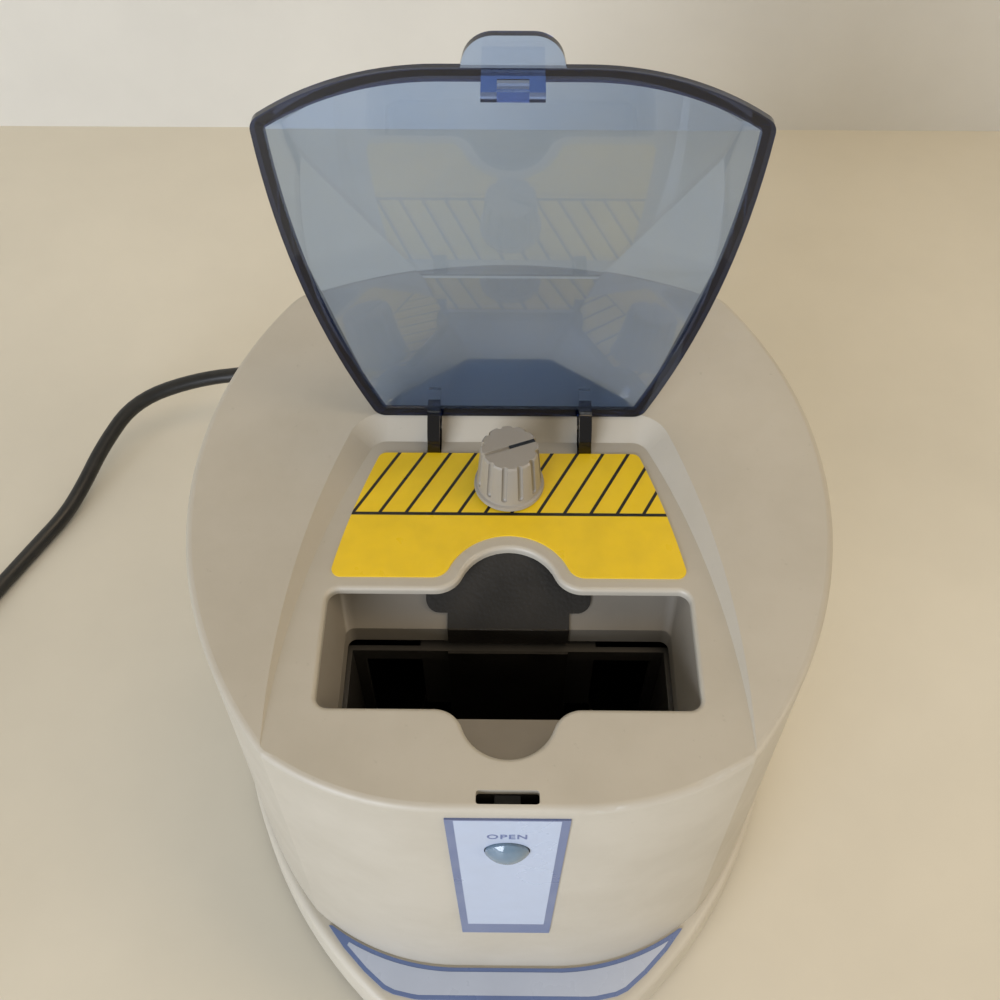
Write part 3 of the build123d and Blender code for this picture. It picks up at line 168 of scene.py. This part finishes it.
def rubber(name):
    colour, dust, roughness, pebble = rubbers[name]
    material, tree, shader, place = newMaterial(name)
    film = add(tree, "TexNoise", {"Vector": place, "Scale": 1 / (rubberWear["patch"] * mm),
                                  "Detail": 6.0, "Roughness": 0.65})
    dusty = add(tree, "MapRange", {0: film, 1: 0.45, 2: 0.75, 4: rubberWear["dustShare"]})
    tone = add(tree, "Mix", {0: dusty, 6: linear(colour), 7: linear(dust)}, 2, data_type="RGBA")
    rough = add(tree, "MapRange", {0: film, 1: 0.3, 2: 0.7, 3: roughness - 0.06,
                                   4: roughness + 0.1})
    grit = add(tree, "TexNoise", {"Vector": place, "Scale": 1 / (pebble * mm), "Detail": 3.0})
    bump = add(tree, "Bump", {"Strength": 0.15, "Distance": rubberWear["relief"] * mm,
                              "Height": grit})
    connect(tree, shader, {"Base Color": tone, "Roughness": rough, "Normal": bump,
                           "IOR": rubberWear["ior"]})
    return material


rubberOf = {name: rubber(name) for name in rubbers}
print("metals and rubbers:", len(metalOf) + len(rubberOf))

boardLook = {"mask": "#12472a", "track": "#1e6a3c", "pitch": 3.2, "roughness": 0.3}


def boardMaterial():  # glass-epoxy laminate under green solder mask, paler along the tracks
    material, tree, shader, place = newMaterial("solderMask")
    tracks = add(tree, "TexVoronoi", {"Vector": place, "Scale": 1 / (boardLook["pitch"] * mm)},
                 feature="DISTANCE_TO_EDGE")
    offTrack = add(tree, "MapRange", {0: tracks, 1: 0.05, 2: 0.09})
    green = add(tree, "Mix", {0: offTrack, 6: linear(boardLook["track"]),
                              7: linear(boardLook["mask"])}, 2, data_type="RGBA")
    connect(tree, shader, {"Base Color": green, "Roughness": boardLook["roughness"]})
    return material


lidLook = {
    "dome": "#b6ccee",       # through one wall
    "smear": "#c6d5ea",      # wiped finger marks, a little paler
    "smearSize": 30, "smearShare": 0.35,
    "rim": "#10183a",        # the flange is seen along its depth, so the tint adds up to navy
    "tongue": "#6f8acb",     # thicker than the dome, so a deeper blue
    "rimDepth": 2.0,         # above the sealing face
    "hingeRise": 170.8, "hingeBack": 21.5, "openTurn": 92.0,
    "frontEdge": -94.6, "armsBehind": 8.0,       # places in Y with the lid shut
    "tongueLine": -60.0,     # from the pins, forward is minus, with the lid shut
    "clear": 0.96, "roughest": 0.045, "ior": 1.55,
}


def lidMaterial():  # polycarbonate tinted blue, moulded in a polished tool: clear, sharp mirroring
    material, tree, shader, place = newMaterial("tintedPolycarbonate")
    parts = add(tree, "SeparateXYZ", {0: place}).node.outputs
    turn = math.radians(lidLook["openTurn"])
    back = add(tree, "Math", {0: parts["Y"], 1: lidLook["hingeBack"] * mm}, operation="SUBTRACT")
    up = add(tree, "Math", {0: parts["Z"], 1: lidLook["hingeRise"] * mm}, operation="SUBTRACT")
    # height above the sealing face and distance along it, measured as if the lid were shut
    backSin = add(tree, "Math", {0: back, 1: math.sin(turn)}, operation="MULTIPLY")
    upCos = add(tree, "Math", {0: up, 1: math.cos(turn)}, operation="MULTIPLY")
    rise = add(tree, "Math", {0: backSin, 1: upCos}, operation="ADD")
    backCos = add(tree, "Math", {0: back, 1: math.cos(turn)}, operation="MULTIPLY")
    upSin = add(tree, "Math", {0: up, 1: math.sin(turn)}, operation="MULTIPLY")
    along = add(tree, "Math", {0: backCos, 1: upSin}, operation="SUBTRACT")

    # navy where the wall is seen end on: the flange ring, the hinge arms, the tab's side walls
    rimTop = lidLook["rimDepth"] * mm
    edge = (lidLook["frontEdge"] - lidLook["hingeBack"]) * mm
    armLine = (lidLook["armsBehind"] - lidLook["hingeBack"]) * mm
    belowTop = add(tree, "MapRange", {0: rise, 1: rimTop - 0.25 * mm, 2: rimTop - 0.05 * mm,
                                      3: 1.0, 4: 0.0})
    aboveFace = add(tree, "MapRange", {0: rise, 1: -0.5 * mm, 2: -0.3 * mm})
    behindTab = add(tree, "MapRange", {0: along, 1: edge - 0.3 * mm, 2: edge - 0.1 * mm})
    flange = add(tree, "Math", {0: belowTop, 1: aboveFace}, operation="MULTIPLY")
    ring = add(tree, "Math", {0: flange, 1: behindTab}, operation="MULTIPLY")
    nearPins = add(tree, "MapRange", {0: along, 1: armLine, 2: armLine + 0.5 * mm})
    armDepth = add(tree, "MapRange", {0: rise, 1: rimTop - 0.25 * mm, 2: rimTop, 3: 1.0, 4: 0.0})
    arms = add(tree, "Math", {0: nearPins, 1: armDepth}, operation="MULTIPLY")
    normal = add(tree, "TexCoord", output="Normal")
    level = add(tree, "VectorMath", {0: normal, 1: (0, math.sin(turn), math.cos(turn))}, "Value",
                operation="DOT_PRODUCT")
    slope = add(tree, "Math", {0: level}, operation="ABSOLUTE")
    upright = add(tree, "MapRange", {0: slope, 1: 0.5, 2: 0.6, 3: 1.0, 4: 0.0})
    onTab = add(tree, "Math", {0: 1.0, 1: behindTab}, operation="SUBTRACT")
    tabWalls = add(tree, "Math", {0: upright, 1: onTab}, operation="MULTIPLY")
    ringOrArms = add(tree, "Math", {0: ring, 1: arms}, operation="MAXIMUM")
    navy = add(tree, "Math", {0: ringOrArms, 1: tabWalls}, operation="MAXIMUM")

    belowFace = add(tree, "MapRange", {0: rise, 1: -0.5 * mm, 2: -0.3 * mm, 3: 1.0, 4: 0.0})
    atFront = add(tree, "MapRange", {0: along, 1: lidLook["tongueLine"] * mm,
                                     2: (lidLook["tongueLine"] + 1) * mm, 3: 1.0, 4: 0.0})
    tongue = add(tree, "Math", {0: belowFace, 1: atFront}, operation="MULTIPLY")
    haze = add(tree, "TexNoise", {"Vector": place, "Scale": 1 / (lidLook["smearSize"] * mm),
                                  "Detail": 6.0, "Roughness": 0.7})
    smeared = add(tree, "MapRange", {0: haze, 1: 0.4, 2: 0.7, 4: lidLook["smearShare"]})
    tint = add(tree, "Mix", {0: smeared, 6: linear(lidLook["dome"]), 7: linear(lidLook["smear"])},
               2, data_type="RGBA")
    tint = add(tree, "Mix", {0: tongue, 6: tint, 7: linear(lidLook["tongue"])}, 2,
               data_type="RGBA")
    tint = add(tree, "Mix", {0: navy, 6: tint, 7: linear(lidLook["rim"])}, 2, data_type="RGBA")
    rough = add(tree, "MapRange", {0: haze, 1: 0.35, 2: 0.8, 4: lidLook["roughest"]})
    connect(tree, shader, {"Base Color": tint, "Roughness": rough,
                           "Transmission Weight": lidLook["clear"], "IOR": lidLook["ior"]})
    return material


hazardLook = {
    "yellow": "#ecc81c", "worn": "#d0b01a", "ink": "#15140f", "wearSize": 9, "wearShare": 0.4,
    "dividerY": -10.4, "lineWidth": 1.06, "lineBlur": 0.06, "dividerBlur": 0.05,
    "stripePitch": 7.49, "stripeStart": 0.65, "stripeLean": 0.549, "pivotY": -10.2, "ior": 1.5,
}


def hazardMaterial():  # screen-printed polyester film: flat colour under a smooth clear face
    look = hazardLook
    material, tree, shader, place = newMaterial("printedWarningFilm")
    parts = add(tree, "SeparateXYZ", {0: place}).node.outputs
    fromPivot = add(tree, "Math", {0: parts["Y"], 1: look["pivotY"] * mm}, operation="SUBTRACT")
    leanBy = add(tree, "Math", {0: fromPivot, 1: look["stripeLean"]}, operation="MULTIPLY")
    across = add(tree, "Math", {0: parts["X"], 1: leanBy}, operation="SUBTRACT")
    shifted = add(tree, "Math", {0: across,
                                 1: (look["stripeStart"] - look["stripePitch"] / 2) * mm},
                  operation="SUBTRACT")
    wrapped = add(tree, "Math", {0: shifted, 1: look["stripePitch"] * mm},
                  operation="FLOORED_MODULO")
    centred = add(tree, "Math", {0: wrapped, 1: look["stripePitch"] / 2 * mm},
                  operation="SUBTRACT")
    fromStripe = add(tree, "Math", {0: centred}, operation="ABSOLUTE")
    half, blur = look["lineWidth"] / 2 * mm, look["lineBlur"] * mm
    stripe = add(tree, "MapRange", {0: fromStripe, 1: half - blur, 2: half + blur, 3: 1.0, 4: 0.0})
    behind = add(tree, "MapRange", {0: parts["Y"],
                                    1: (look["dividerY"] - look["dividerBlur"]) * mm,
                                    2: (look["dividerY"] + look["dividerBlur"]) * mm})
    pastLine = add(tree, "Math", {0: parts["Y"], 1: look["dividerY"] * mm}, operation="SUBTRACT")
    fromLine = add(tree, "Math", {0: pastLine}, operation="ABSOLUTE")
    divider = add(tree, "MapRange", {0: fromLine, 1: half - blur, 2: half + blur, 3: 1.0, 4: 0.0})
    stripesBehind = add(tree, "Math", {0: stripe, 1: behind}, operation="MULTIPLY")
    ink = add(tree, "Math", {0: stripesBehind, 1: divider}, operation="MAXIMUM")
    wear = add(tree, "TexNoise", {"Vector": place, "Scale": 1 / (look["wearSize"] * mm),
                                  "Detail": 6.0})
    worn = add(tree, "MapRange", {0: wear, 1: 0.4, 2: 0.75, 4: look["wearShare"]})
    tone = add(tree, "Mix", {0: worn, 6: linear(look["yellow"]), 7: linear(look["worn"])}, 2,
               data_type="RGBA")
    tone = add(tree, "Mix", {0: ink, 6: tone, 7: linear(look["ink"])}, 2, data_type="RGBA")
    rough = add(tree, "MapRange", {0: wear, 1: 0.3, 2: 0.7, 3: 0.26, 4: 0.40})
    connect(tree, shader, {"Base Color": tone, "Roughness": rough, "IOR": look["ior"]})
    return material


labelLook = {
    "face": "#acb9d0", "worn": "#a8abb4", "border": "#5b6b92", "ink": "#5d6a92", "wearSize": 16,
    "wearShare": 0.25, "topZ": 165.3, "topX": 15.4, "lowZ": 67.2, "lowX": 13.5,
    "sideBorder": 2.2, "band": 9.6, "topLine": 0.7, "lineBlur": 0.05,
}


def labelMaterial():  # printed polyester film: pale face in a blue frame, smooth and a little worn
    look = labelLook
    material, tree, shader, place = newMaterial("printedLabelFilm")
    parts = add(tree, "SeparateXYZ", {0: place}).node.outputs
    edge = add(tree, "MapRange", {0: parts["Z"], 1: look["lowZ"] * mm, 2: look["topZ"] * mm,
                                  3: look["lowX"] * mm, 4: look["topX"] * mm})
    fromMiddle = add(tree, "Math", {0: parts["X"]}, operation="ABSOLUTE")
    inward = add(tree, "Math", {0: edge, 1: fromMiddle}, operation="SUBTRACT")
    side = add(tree, "MapRange", {0: inward, 1: (look["sideBorder"] - look["lineBlur"]) * mm,
                                  2: (look["sideBorder"] + look["lineBlur"]) * mm,
                                  3: 1.0, 4: 0.0})
    band = add(tree, "MapRange", {0: parts["Z"],
                                  1: (look["lowZ"] + look["band"] - look["lineBlur"]) * mm,
                                  2: (look["lowZ"] + look["band"] + look["lineBlur"]) * mm,
                                  3: 1.0, 4: 0.0})
    line = add(tree, "MapRange", {0: parts["Z"], 1: (look["topZ"] - look["topLine"]) * mm,
                                  2: (look["topZ"] - look["topLine"] + 0.1) * mm})
    frameShare = add(tree, "Math", {0: side, 1: band}, operation="MAXIMUM")
    printed = add(tree, "Mix", {0: frameShare, 6: linear(look["face"]),
                                7: linear(look["border"])}, 2, data_type="RGBA")
    printed = add(tree, "Mix", {0: line, 6: printed, 7: linear(look["ink"])}, 2,
                  data_type="RGBA")
    film = add(tree, "TexNoise", {"Vector": place, "Scale": 1 / (look["wearSize"] * mm),
                                  "Detail": 5.0})
    worn = add(tree, "MapRange", {0: film, 1: 0.4, 2: 0.8, 4: look["wearShare"]})
    printed = add(tree, "Mix", {0: worn, 6: printed, 7: linear(look["worn"])}, 2,
                  data_type="RGBA")
    rough = add(tree, "MapRange", {0: film, 1: 0.3, 2: 0.7, 3: 0.24, 4: 0.38})
    connect(tree, shader, {"Base Color": printed, "Roughness": rough})
    return material


plainFilms = {
    # name: colour, worn colour; ink and film of one colour, smooth with faint patches of wear
    "crescentBorderFilm": ("#6376a3", "#5a6a90"),
    "crescentFaceFilm": ("#b7c0d2", "#a9b2c4"),
    "pointerInk": ("#121212", "#262524"),
    "printedWordInk": ("#5a6997", "#66749c"),
}


def plainFilm(name):
    colour, worn = plainFilms[name]
    material, tree, shader, place = newMaterial(name)
    film = add(tree, "TexNoise", {"Vector": place, "Scale": 1 / (labelLook["wearSize"] * mm),
                                  "Detail": 5.0})
    wornShare = add(tree, "MapRange", {0: film, 1: 0.4, 2: 0.8, 4: 0.4})
    tone = add(tree, "Mix", {0: wornShare, 6: linear(colour), 7: linear(worn)}, 2,
               data_type="RGBA")
    rough = add(tree, "MapRange", {0: film, 1: 0.3, 2: 0.7, 3: 0.24, 4: 0.38})
    connect(tree, shader, {"Base Color": tone, "Roughness": rough})
    return material


# painted shade: the brown and paler tones are set darker than the sheet's own dark brown, standing
# in for the shadow of the arch above the leaf
leafLook = {"brown": "#15120d", "paler": "#211d16", "hollow": "#16130f", "pebble": 0.9,
            "cloudSize": 12, "relief": 0.12}


def leafMaterial():  # calendered vinyl sheet with a pebbled face: dark, with a soft sheen
    material, tree, shader, place = newMaterial("pebbledVinyl")
    pebbles = add(tree, "TexVoronoi", {"Vector": place, "Scale": 1 / (leafLook["pebble"] * mm)},
                  feature="SMOOTH_F1")
    cloud = add(tree, "TexNoise", {"Vector": place, "Scale": 1 / (leafLook["cloudSize"] * mm),
                                   "Detail": 5.0})
    pale = add(tree, "MapRange", {0: cloud, 1: 0.35, 2: 0.7})
    brown = add(tree, "Mix", {0: pale, 6: linear(leafLook["brown"]),
                              7: linear(leafLook["paler"])}, 2, data_type="RGBA")
    # painted shade in the pebble hollows: the low points of the pebbling are mixed towards a darker
    # brown
    hollows = add(tree, "MapRange", {0: pebbles, 1: 0.2, 2: 0.7, 4: 0.35})
    brown = add(tree, "Mix", {0: hollows, 6: brown, 7: linear(leafLook["hollow"])}, 2,
                data_type="RGBA")
    rough = add(tree, "MapRange", {0: cloud, 1: 0.3, 2: 0.7, 3: 0.42, 4: 0.58})
    bump = add(tree, "Bump", {"Strength": 0.5, "Distance": leafLook["relief"] * mm,
                              "Height": pebbles}, invert=True)
    connect(tree, shader, {"Base Color": brown, "Roughness": rough, "Normal": bump})
    return material


buttonLook = {"grey": "#6f8598", "deeper": "#62788b", "cloudSize": 5, "roughness": 0.12,
              "glow": 0.2, "glowReach": (2, 3, 3), "coat": 0.5}


def buttonMaterial():  # acrylic, moulded and polished: cloudy grey-blue, light sinks in a little
    material, tree, shader, place = newMaterial("polishedAcrylic")
    cloud = add(tree, "TexNoise", {"Vector": place, "Scale": 1 / (buttonLook["cloudSize"] * mm),
                                   "Detail": 3.0})
    deeper = add(tree, "MapRange", {0: cloud, 1: 0.35, 2: 0.7})
    tone = add(tree, "Mix", {0: deeper, 6: linear(buttonLook["grey"]),
                             7: linear(buttonLook["deeper"])}, 2, data_type="RGBA")
    connect(tree, shader, {
        "Base Color": tone, "Roughness": buttonLook["roughness"],
        "Subsurface Weight": buttonLook["glow"],
        "Subsurface Radius": [reach * mm for reach in buttonLook["glowReach"]],
        "Coat Weight": buttonLook["coat"]})
    return material


hazardFilm, labelFilm, leafVinyl = hazardMaterial(), labelMaterial(), leafMaterial()
filmOf = {name: plainFilm(name) for name in plainFilms}
print("films and sheets ready")

finishOf = {
    "upper_housing": plastics["absHousing"], "base_pan": plastics["absBase"],
    "slot_funnel": plastics["absWell"], "knob": plastics["absKnob"],
    "knob_pointer": filmOf["pointerInk"], "lid": lidMaterial(), "open_button": buttonMaterial(),
    "latch_slide": plastics["nylonLatch"], "latch_bracket": metalOf["platedSheet"],
    "latch_spring": metalOf["groundSteel"], "front_label_plate": labelFilm,
    "hazard_plate": hazardFilm, "crescent_plate": filmOf["crescentBorderFilm"],
    "guard_leaf": leafVinyl, "strap_front": leafVinyl, "strap_rear": leafVinyl,
    "rotor_hub": plastics["absRotor"], "pocket_front": plastics["absRotor"],
    "pocket_rear": plastics["absRotor"], "bowl": plastics["absBowl"],
    "rotor_shaft": metalOf["groundSteel"], "hinge_pin_left": metalOf["groundSteel"],
    "hinge_pin_right": metalOf["groundSteel"], "deck_bushing": metalOf["turnedBrass"],
    "motor": metalOf["drawnCan"], "motor_mount": metalOf["platedSheet"],
    "circuit_board": boardMaterial(), "strain_relief": rubberOf["cableJacket"],
    "plug": plastics["pvcPlug"], "plug_blade_left": metalOf["nickelBlade"],
    "plug_blade_right": metalOf["nickelBlade"], "plug_ground_pin": metalOf["nickelBlade"],
    "power_cord": rubberOf["cableJacket"], "cord_coil": rubberOf["cableJacket"],
    "cord_tail": rubberOf["cableJacket"],
}
for number in (1, 2, 3, 4):
    finishOf["foot_%d" % number] = rubberOf["footRubber"]
    finishOf["isolator_%d" % number] = rubberOf["footRubber"]
    finishOf["base_screw_%d" % number] = metalOf["zincScrew"]
for name, node in nodes.items():
    node.data.materials.clear()
    node.data.materials.append(finishOf[name])
print("finishes on", len(nodes), "nodes")

# The crescent film's pale face lies inside its blue border, drawn from the plate's own outline.
crescentShape = {"border": 1.4, "proud": 0.06, "spacing": 1.6, "weld": 0.01, "facingUp": 0.9,
                 "bend": 0.02, "sharpest": 0.35, "nearest": 0.93}


def plateOutline():  # corners of the film's top face, thinned to an even spacing
    faceMesh = bmesh.new()
    faceMesh.from_mesh(nodes["crescent_plate"].data)
    bmesh.ops.remove_doubles(faceMesh, verts=faceMesh.verts, dist=crescentShape["weld"] * mm)
    turned = [face for face in faceMesh.faces if face.normal.z < crescentShape["facingUp"]]
    bmesh.ops.delete(faceMesh, geom=turned, context="FACES")
    bmesh.ops.dissolve_limit(faceMesh, angle_limit=crescentShape["bend"], verts=faceMesh.verts,
                             edges=faceMesh.edges)
    corners = []
    for corner in max(faceMesh.faces, key=lambda face: face.calc_area()).verts:
        if not corners or (corner.co - corners[-1]).length > crescentShape["spacing"] * mm:
            corners.append(corner.co.copy())
    faceMesh.free()
    return corners


def gapTo(point, start, end):  # from a point to one side of the outline, seen from above
    side, away = (end - start).to_2d(), (point - start).to_2d()
    share = min(max(away.dot(side) / side.length_squared, 0), 1)
    return (away - side * share).length


outline = plateOutline()
inset = []
for index, point in enumerate(outline):  # each corner moves in along the line that halves it
    before = (point - outline[index - 1]).normalized()
    after = (outline[(index + 1) % len(outline)] - point).normalized()
    inward = Vector((-before.y - after.y, before.x + after.x, 0)).normalized()
    share = max(inward.dot(Vector((-before.y, before.x, 0))), crescentShape["sharpest"])
    inset.append(point + inward * crescentShape["border"] * mm / share
                 + Vector((0, 0, crescentShape["proud"] * mm)))
# drop the corners that fold over each other in the sharp tips
inset = [point for point in inset
         if min(gapTo(point, outline[i - 1], outline[i]) for i in range(len(outline)))
         > crescentShape["nearest"] * crescentShape["border"] * mm]
crescentFace = bpy.data.objects.new("crescentFace", bpy.data.meshes.new("crescentFace"))
crescentFace.data.from_pydata(inset, [], [list(range(len(inset)))])
crescentFace.data.materials.append(filmOf["crescentFaceFilm"])
bpy.context.scene.collection.objects.link(crescentFace)
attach(crescentFace, "housing_body")
print("crescent face:", len(crescentFace.data.polygons), "faces")

# The mains cord is one soft line from the relief over the bench to the coil and the plug.
cordShape = {
    "radius": 3.5, "length": 1.85,       # the length is in metres
    "exit": (-35, 113.9, 46),
    "route": [(-35, 147, 46), (-57, 173, 41), (-88, 182, 33), (-121, 176.5, 27), (-152, 173, 26),
              (-181, 161, 23), (-194, 139, 15), (-201, 121, 8), (-207, 106, 4.6),
              (-216, 90, 3.55), (-229, 64, 3.55), (-243, 34, 3.55), (-254, 2, 3.55)],
    "coilCentre": (-302, -40), "coilRadius": 48, "coilTurns": 3, "pitch": 7.8,
    "layers": (3.55, 11.25), "pointsPerHalfTurn": 8,
    "tail": [(0, -7, 11.25), (0, -27, 11.25), (3, -51, 10.6), (6, -73, 10.6)],
}


def coilPoints():  # two layers of loops, spiralling in below and out again on top
    centreX, centreY = cordShape["coilCentre"]
    low, high = cordShape["layers"]
    ends, radius = [(cordShape["coilRadius"], low)], cordShape["coilRadius"]
    for half in range(2 * cordShape["coilTurns"]):
        ends.append((ends[-1][0] + (-2 if half % 2 == 0 else 2) * radius, low))
        radius -= cordShape["pitch"] / 2
    radius = ends[-1][0]
    ends.append((-radius, high))
    for half in range(2 * cordShape["coilTurns"] - 1):
        radius += cordShape["pitch"] / 2
        ends.append((ends[-1][0] + (2 if half % 2 == 0 else -2) * radius, high))
    points, count = [], cordShape["pointsPerHalfTurn"]
    for (x1, z1), (x2, z2) in zip(ends, ends[1:]):
        side = -1 if x2 < x1 else 1
        reach = (x1 - x2) / 2 / math.cos(math.pi / 2 / count)
        for step in range(count):
            share = (step + 0.5) / count
            turn = math.pi * share
            points.append((centreX + (x1 + x2) / 2 + reach * math.cos(turn),
                           centreY + side * abs(reach) * math.sin(turn), z1 + (z2 - z1) * share))
    return points, centreX + ends[-1][0], centreY


loops, tailX, tailY = coilPoints()
tailRun = [(tailX + x, tailY + y, z) for x, y, z in cordShape["tail"]]
line = [cordShape["exit"], *cordShape["route"], *loops, *tailRun]
cordCurve = bpy.data.curves.new("mainsCord", "CURVE")
cordCurve.dimensions = "3D"
spline = cordCurve.splines.new("NURBS")
spline.points.add(len(line) - 1)
for point, place in zip(spline.points, line):
    point.co = (*(Vector(place) * mm), 1.0)
spline.order_u = 3
spline.use_endpoint_u = True
spline.resolution_u = 6
cordCurve.bevel_depth = cordShape["radius"] * mm
cordCurve.bevel_resolution = 5
cordCurve.use_fill_caps = True
mainsCord = bpy.data.objects.new("mainsCord", cordCurve)
cordCurve.materials.append(rubberOf["cableJacket"])
bpy.context.scene.collection.objects.link(mainsCord)
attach(mainsCord, "housing_body")
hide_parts("power_cord", "cord_coil", "cord_tail")
print("mains cord:", len(line), "points")

# The word over the release button is printed on the front film.
openWordShape = {"word": "OPEN", "height": 3.0, "capitals": 0.70, "stretch": 0.85, "bolder": 0.09,
                 "spacing": 1.15, "thick": 0.04, "centreZ": 153.6, "faceY": -97.32}
wordCurve = bpy.data.curves.new("openWord", "FONT")
wordCurve.body = openWordShape["word"]
wordCurve.size = openWordShape["height"] / openWordShape["capitals"] * mm
wordCurve.space_character = openWordShape["spacing"]
wordCurve.align_x, wordCurve.align_y = "CENTER", "CENTER"
wordCurve.extrude = openWordShape["thick"] / 2 * mm
wordCurve.offset = openWordShape["bolder"] * mm
openWord = bpy.data.objects.new("openWord", wordCurve)
openWord.rotation_euler = (math.radians(90), 0, 0)
openWord.scale = (openWordShape["stretch"], 1, 1)
openWord.location = (0, openWordShape["faceY"] * mm, openWordShape["centreZ"] * mm)
wordCurve.materials.append(filmOf["printedWordInk"])
bpy.context.scene.collection.objects.link(openWord)
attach(openWord, "housing_body")

# The wound spring behind the button, drawn at one fixed length; the real one shortens as the button
# goes in.
springShape = {"turns": 4.5, "stepsPerTurn": 24, "front": -89.1, "rear": -84.6, "radius": 2.25,
               "wire": 0.4, "height": 143.5, "keep": 0.42}
springPath = bpy.data.curves.new("springPath", "CURVE")
springPath.dimensions = "3D"
winding = springPath.splines.new("POLY")
steps = int(springShape["turns"] * springShape["stepsPerTurn"])
winding.points.add(steps)
for step, point in enumerate(winding.points):
    share = step / steps
    turn = 2 * math.pi * springShape["turns"] * share
    inner = springShape["front"] + springShape["wire"] + share * (
        springShape["rear"] - springShape["front"] - 2 * springShape["wire"])
    point.co = (springShape["radius"] * math.cos(turn) * mm, inner * mm,
                (springShape["height"] + springShape["radius"] * math.sin(turn)) * mm, 1)
springPath.bevel_depth = springShape["wire"] * mm
springPath.bevel_resolution = 3
springPath.use_fill_caps = True
pathObject = bpy.data.objects.new("springPath", springPath)
bpy.context.scene.collection.objects.link(pathObject)
bpy.context.view_layer.update()
evaluatedPath = pathObject.evaluated_get(bpy.context.evaluated_depsgraph_get())
springMesh = bpy.data.meshes.new_from_object(evaluatedPath)
bpy.data.objects.remove(pathObject)
springCoil = bpy.data.objects.new("springCoil", springMesh)
springMesh.materials.clear()
springMesh.materials.append(metalOf["groundSteel"])
bpy.context.scene.collection.objects.link(springCoil)
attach(springCoil, "housing_body")
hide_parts("latch_spring")
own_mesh(springCoil)
print("word and spring made")

benchLook = {  # places in metres, stains in millimetres
    "bench": "#d8d2c2", "benchRoughness": 0.45, "wall": "#d2cfc6", "wallRoughness": 0.8,
    "stainSize": 200, "rearEdge": 0.413, "front": -2.5, "halfWidth": 3.0, "wallFoot": -0.2,
    "wallTop": 2.5,
}


def backdrop(name, corners, colour, roughness):  # painted sheet, almost even, with broad stains
    material, tree, shader, place = newMaterial(name)
    stain = add(tree, "TexNoise", {"Vector": place, "Scale": 1 / (benchLook["stainSize"] * mm),
                                   "Detail": 6.0, "Roughness": 0.6})
    dimmer = add(tree, "MapRange", {0: stain, 1: 0.35, 2: 0.7})
    pale = linear(colour)
    dim = tuple(c * 0.9 for c in pale[:3]) + (1.0,)
    tone = add(tree, "Mix", {0: dimmer, 6: pale, 7: dim}, 2, data_type="RGBA")
    connect(tree, shader, {"Base Color": tone, "Roughness": roughness})
    mesh = bpy.data.meshes.new(name)
    mesh.from_pydata(corners, [], [(0, 1, 2, 3)])
    mesh.materials.append(material)
    sheet = bpy.data.objects.new(name, mesh)
    bpy.context.scene.collection.objects.link(sheet)


side, back, front = benchLook["halfWidth"], benchLook["rearEdge"], benchLook["front"]
foot, top = benchLook["wallFoot"], benchLook["wallTop"]
backdrop("benchTop", [(-side, front, 0), (side, front, 0), (side, back, 0), (-side, back, 0)],
         benchLook["bench"], benchLook["benchRoughness"])
backdrop("backWall", [(-side, back, foot), (side, back, foot), (side, back, top),
                      (-side, back, top)], benchLook["wall"], benchLook["wallRoughness"])

lamps = {
    # name: place, aim and size in metres, power in watts, colour
    "frontWindow": ((-1.0, -1.7, 0.6), (0, 0, 0.08), (1.3, 0.9), 40.0, "#e9f1ff"),
    "topPanel": ((0.3, 0.3, 1.65), (0, 0.0, 0.1), (1.4, 0.6), 9.0, "#ffe4bd"),
    "rightFill": ((1.6, -0.5, 0.7), (0, 0, 0.1), (0.8, 0.8), 8.0, "#ffedd2"),
}
for name, (place, aim, (width, height), power, colour) in lamps.items():
    lamp = bpy.data.lights.new(name, "AREA")
    lamp.shape, lamp.size, lamp.size_y, lamp.energy = "RECTANGLE", width, height, power
    lamp.color = linear(colour)[:3]
    lampObject = bpy.data.objects.new(name, lamp)
    lampObject.location = place
    lampObject.rotation_euler = (Vector(aim) - Vector(place)).to_track_quat("-Z", "Y").to_euler()
    bpy.context.scene.collection.objects.link(lampObject)

roomLight = {"colour": "#f7efe0", "strength": 0.40}
world = bpy.data.worlds.new("studio")
world.use_nodes = True
background = world.node_tree.nodes["Background"]
background.inputs["Color"].default_value = linear(roomLight["colour"])
background.inputs["Strength"].default_value = roomLight["strength"]
bpy.context.scene.world = world
bpy.context.scene.view_settings.view_transform = "Standard"

cameraPlace = {"at": (-0.001015, -0.19191, 0.42414), "turn": (36.3094, -0.0046, 0.4914),
               "lens": 39.61, "sensor": 36.0, "nearest": 0.01}  # metres, degrees, mm of lens
cameraData = bpy.data.cameras.new("photoCamera")
cameraData.lens, cameraData.sensor_width = cameraPlace["lens"], cameraPlace["sensor"]
cameraData.clip_start = cameraPlace["nearest"]
photoCamera = bpy.data.objects.new("photoCamera", cameraData)
photoCamera.location = cameraPlace["at"]
photoCamera.rotation_euler = Euler([math.radians(angle) for angle in cameraPlace["turn"]])
bpy.context.scene.collection.objects.link(photoCamera)
bpy.context.scene.camera = photoCamera
print("camera and lights set")
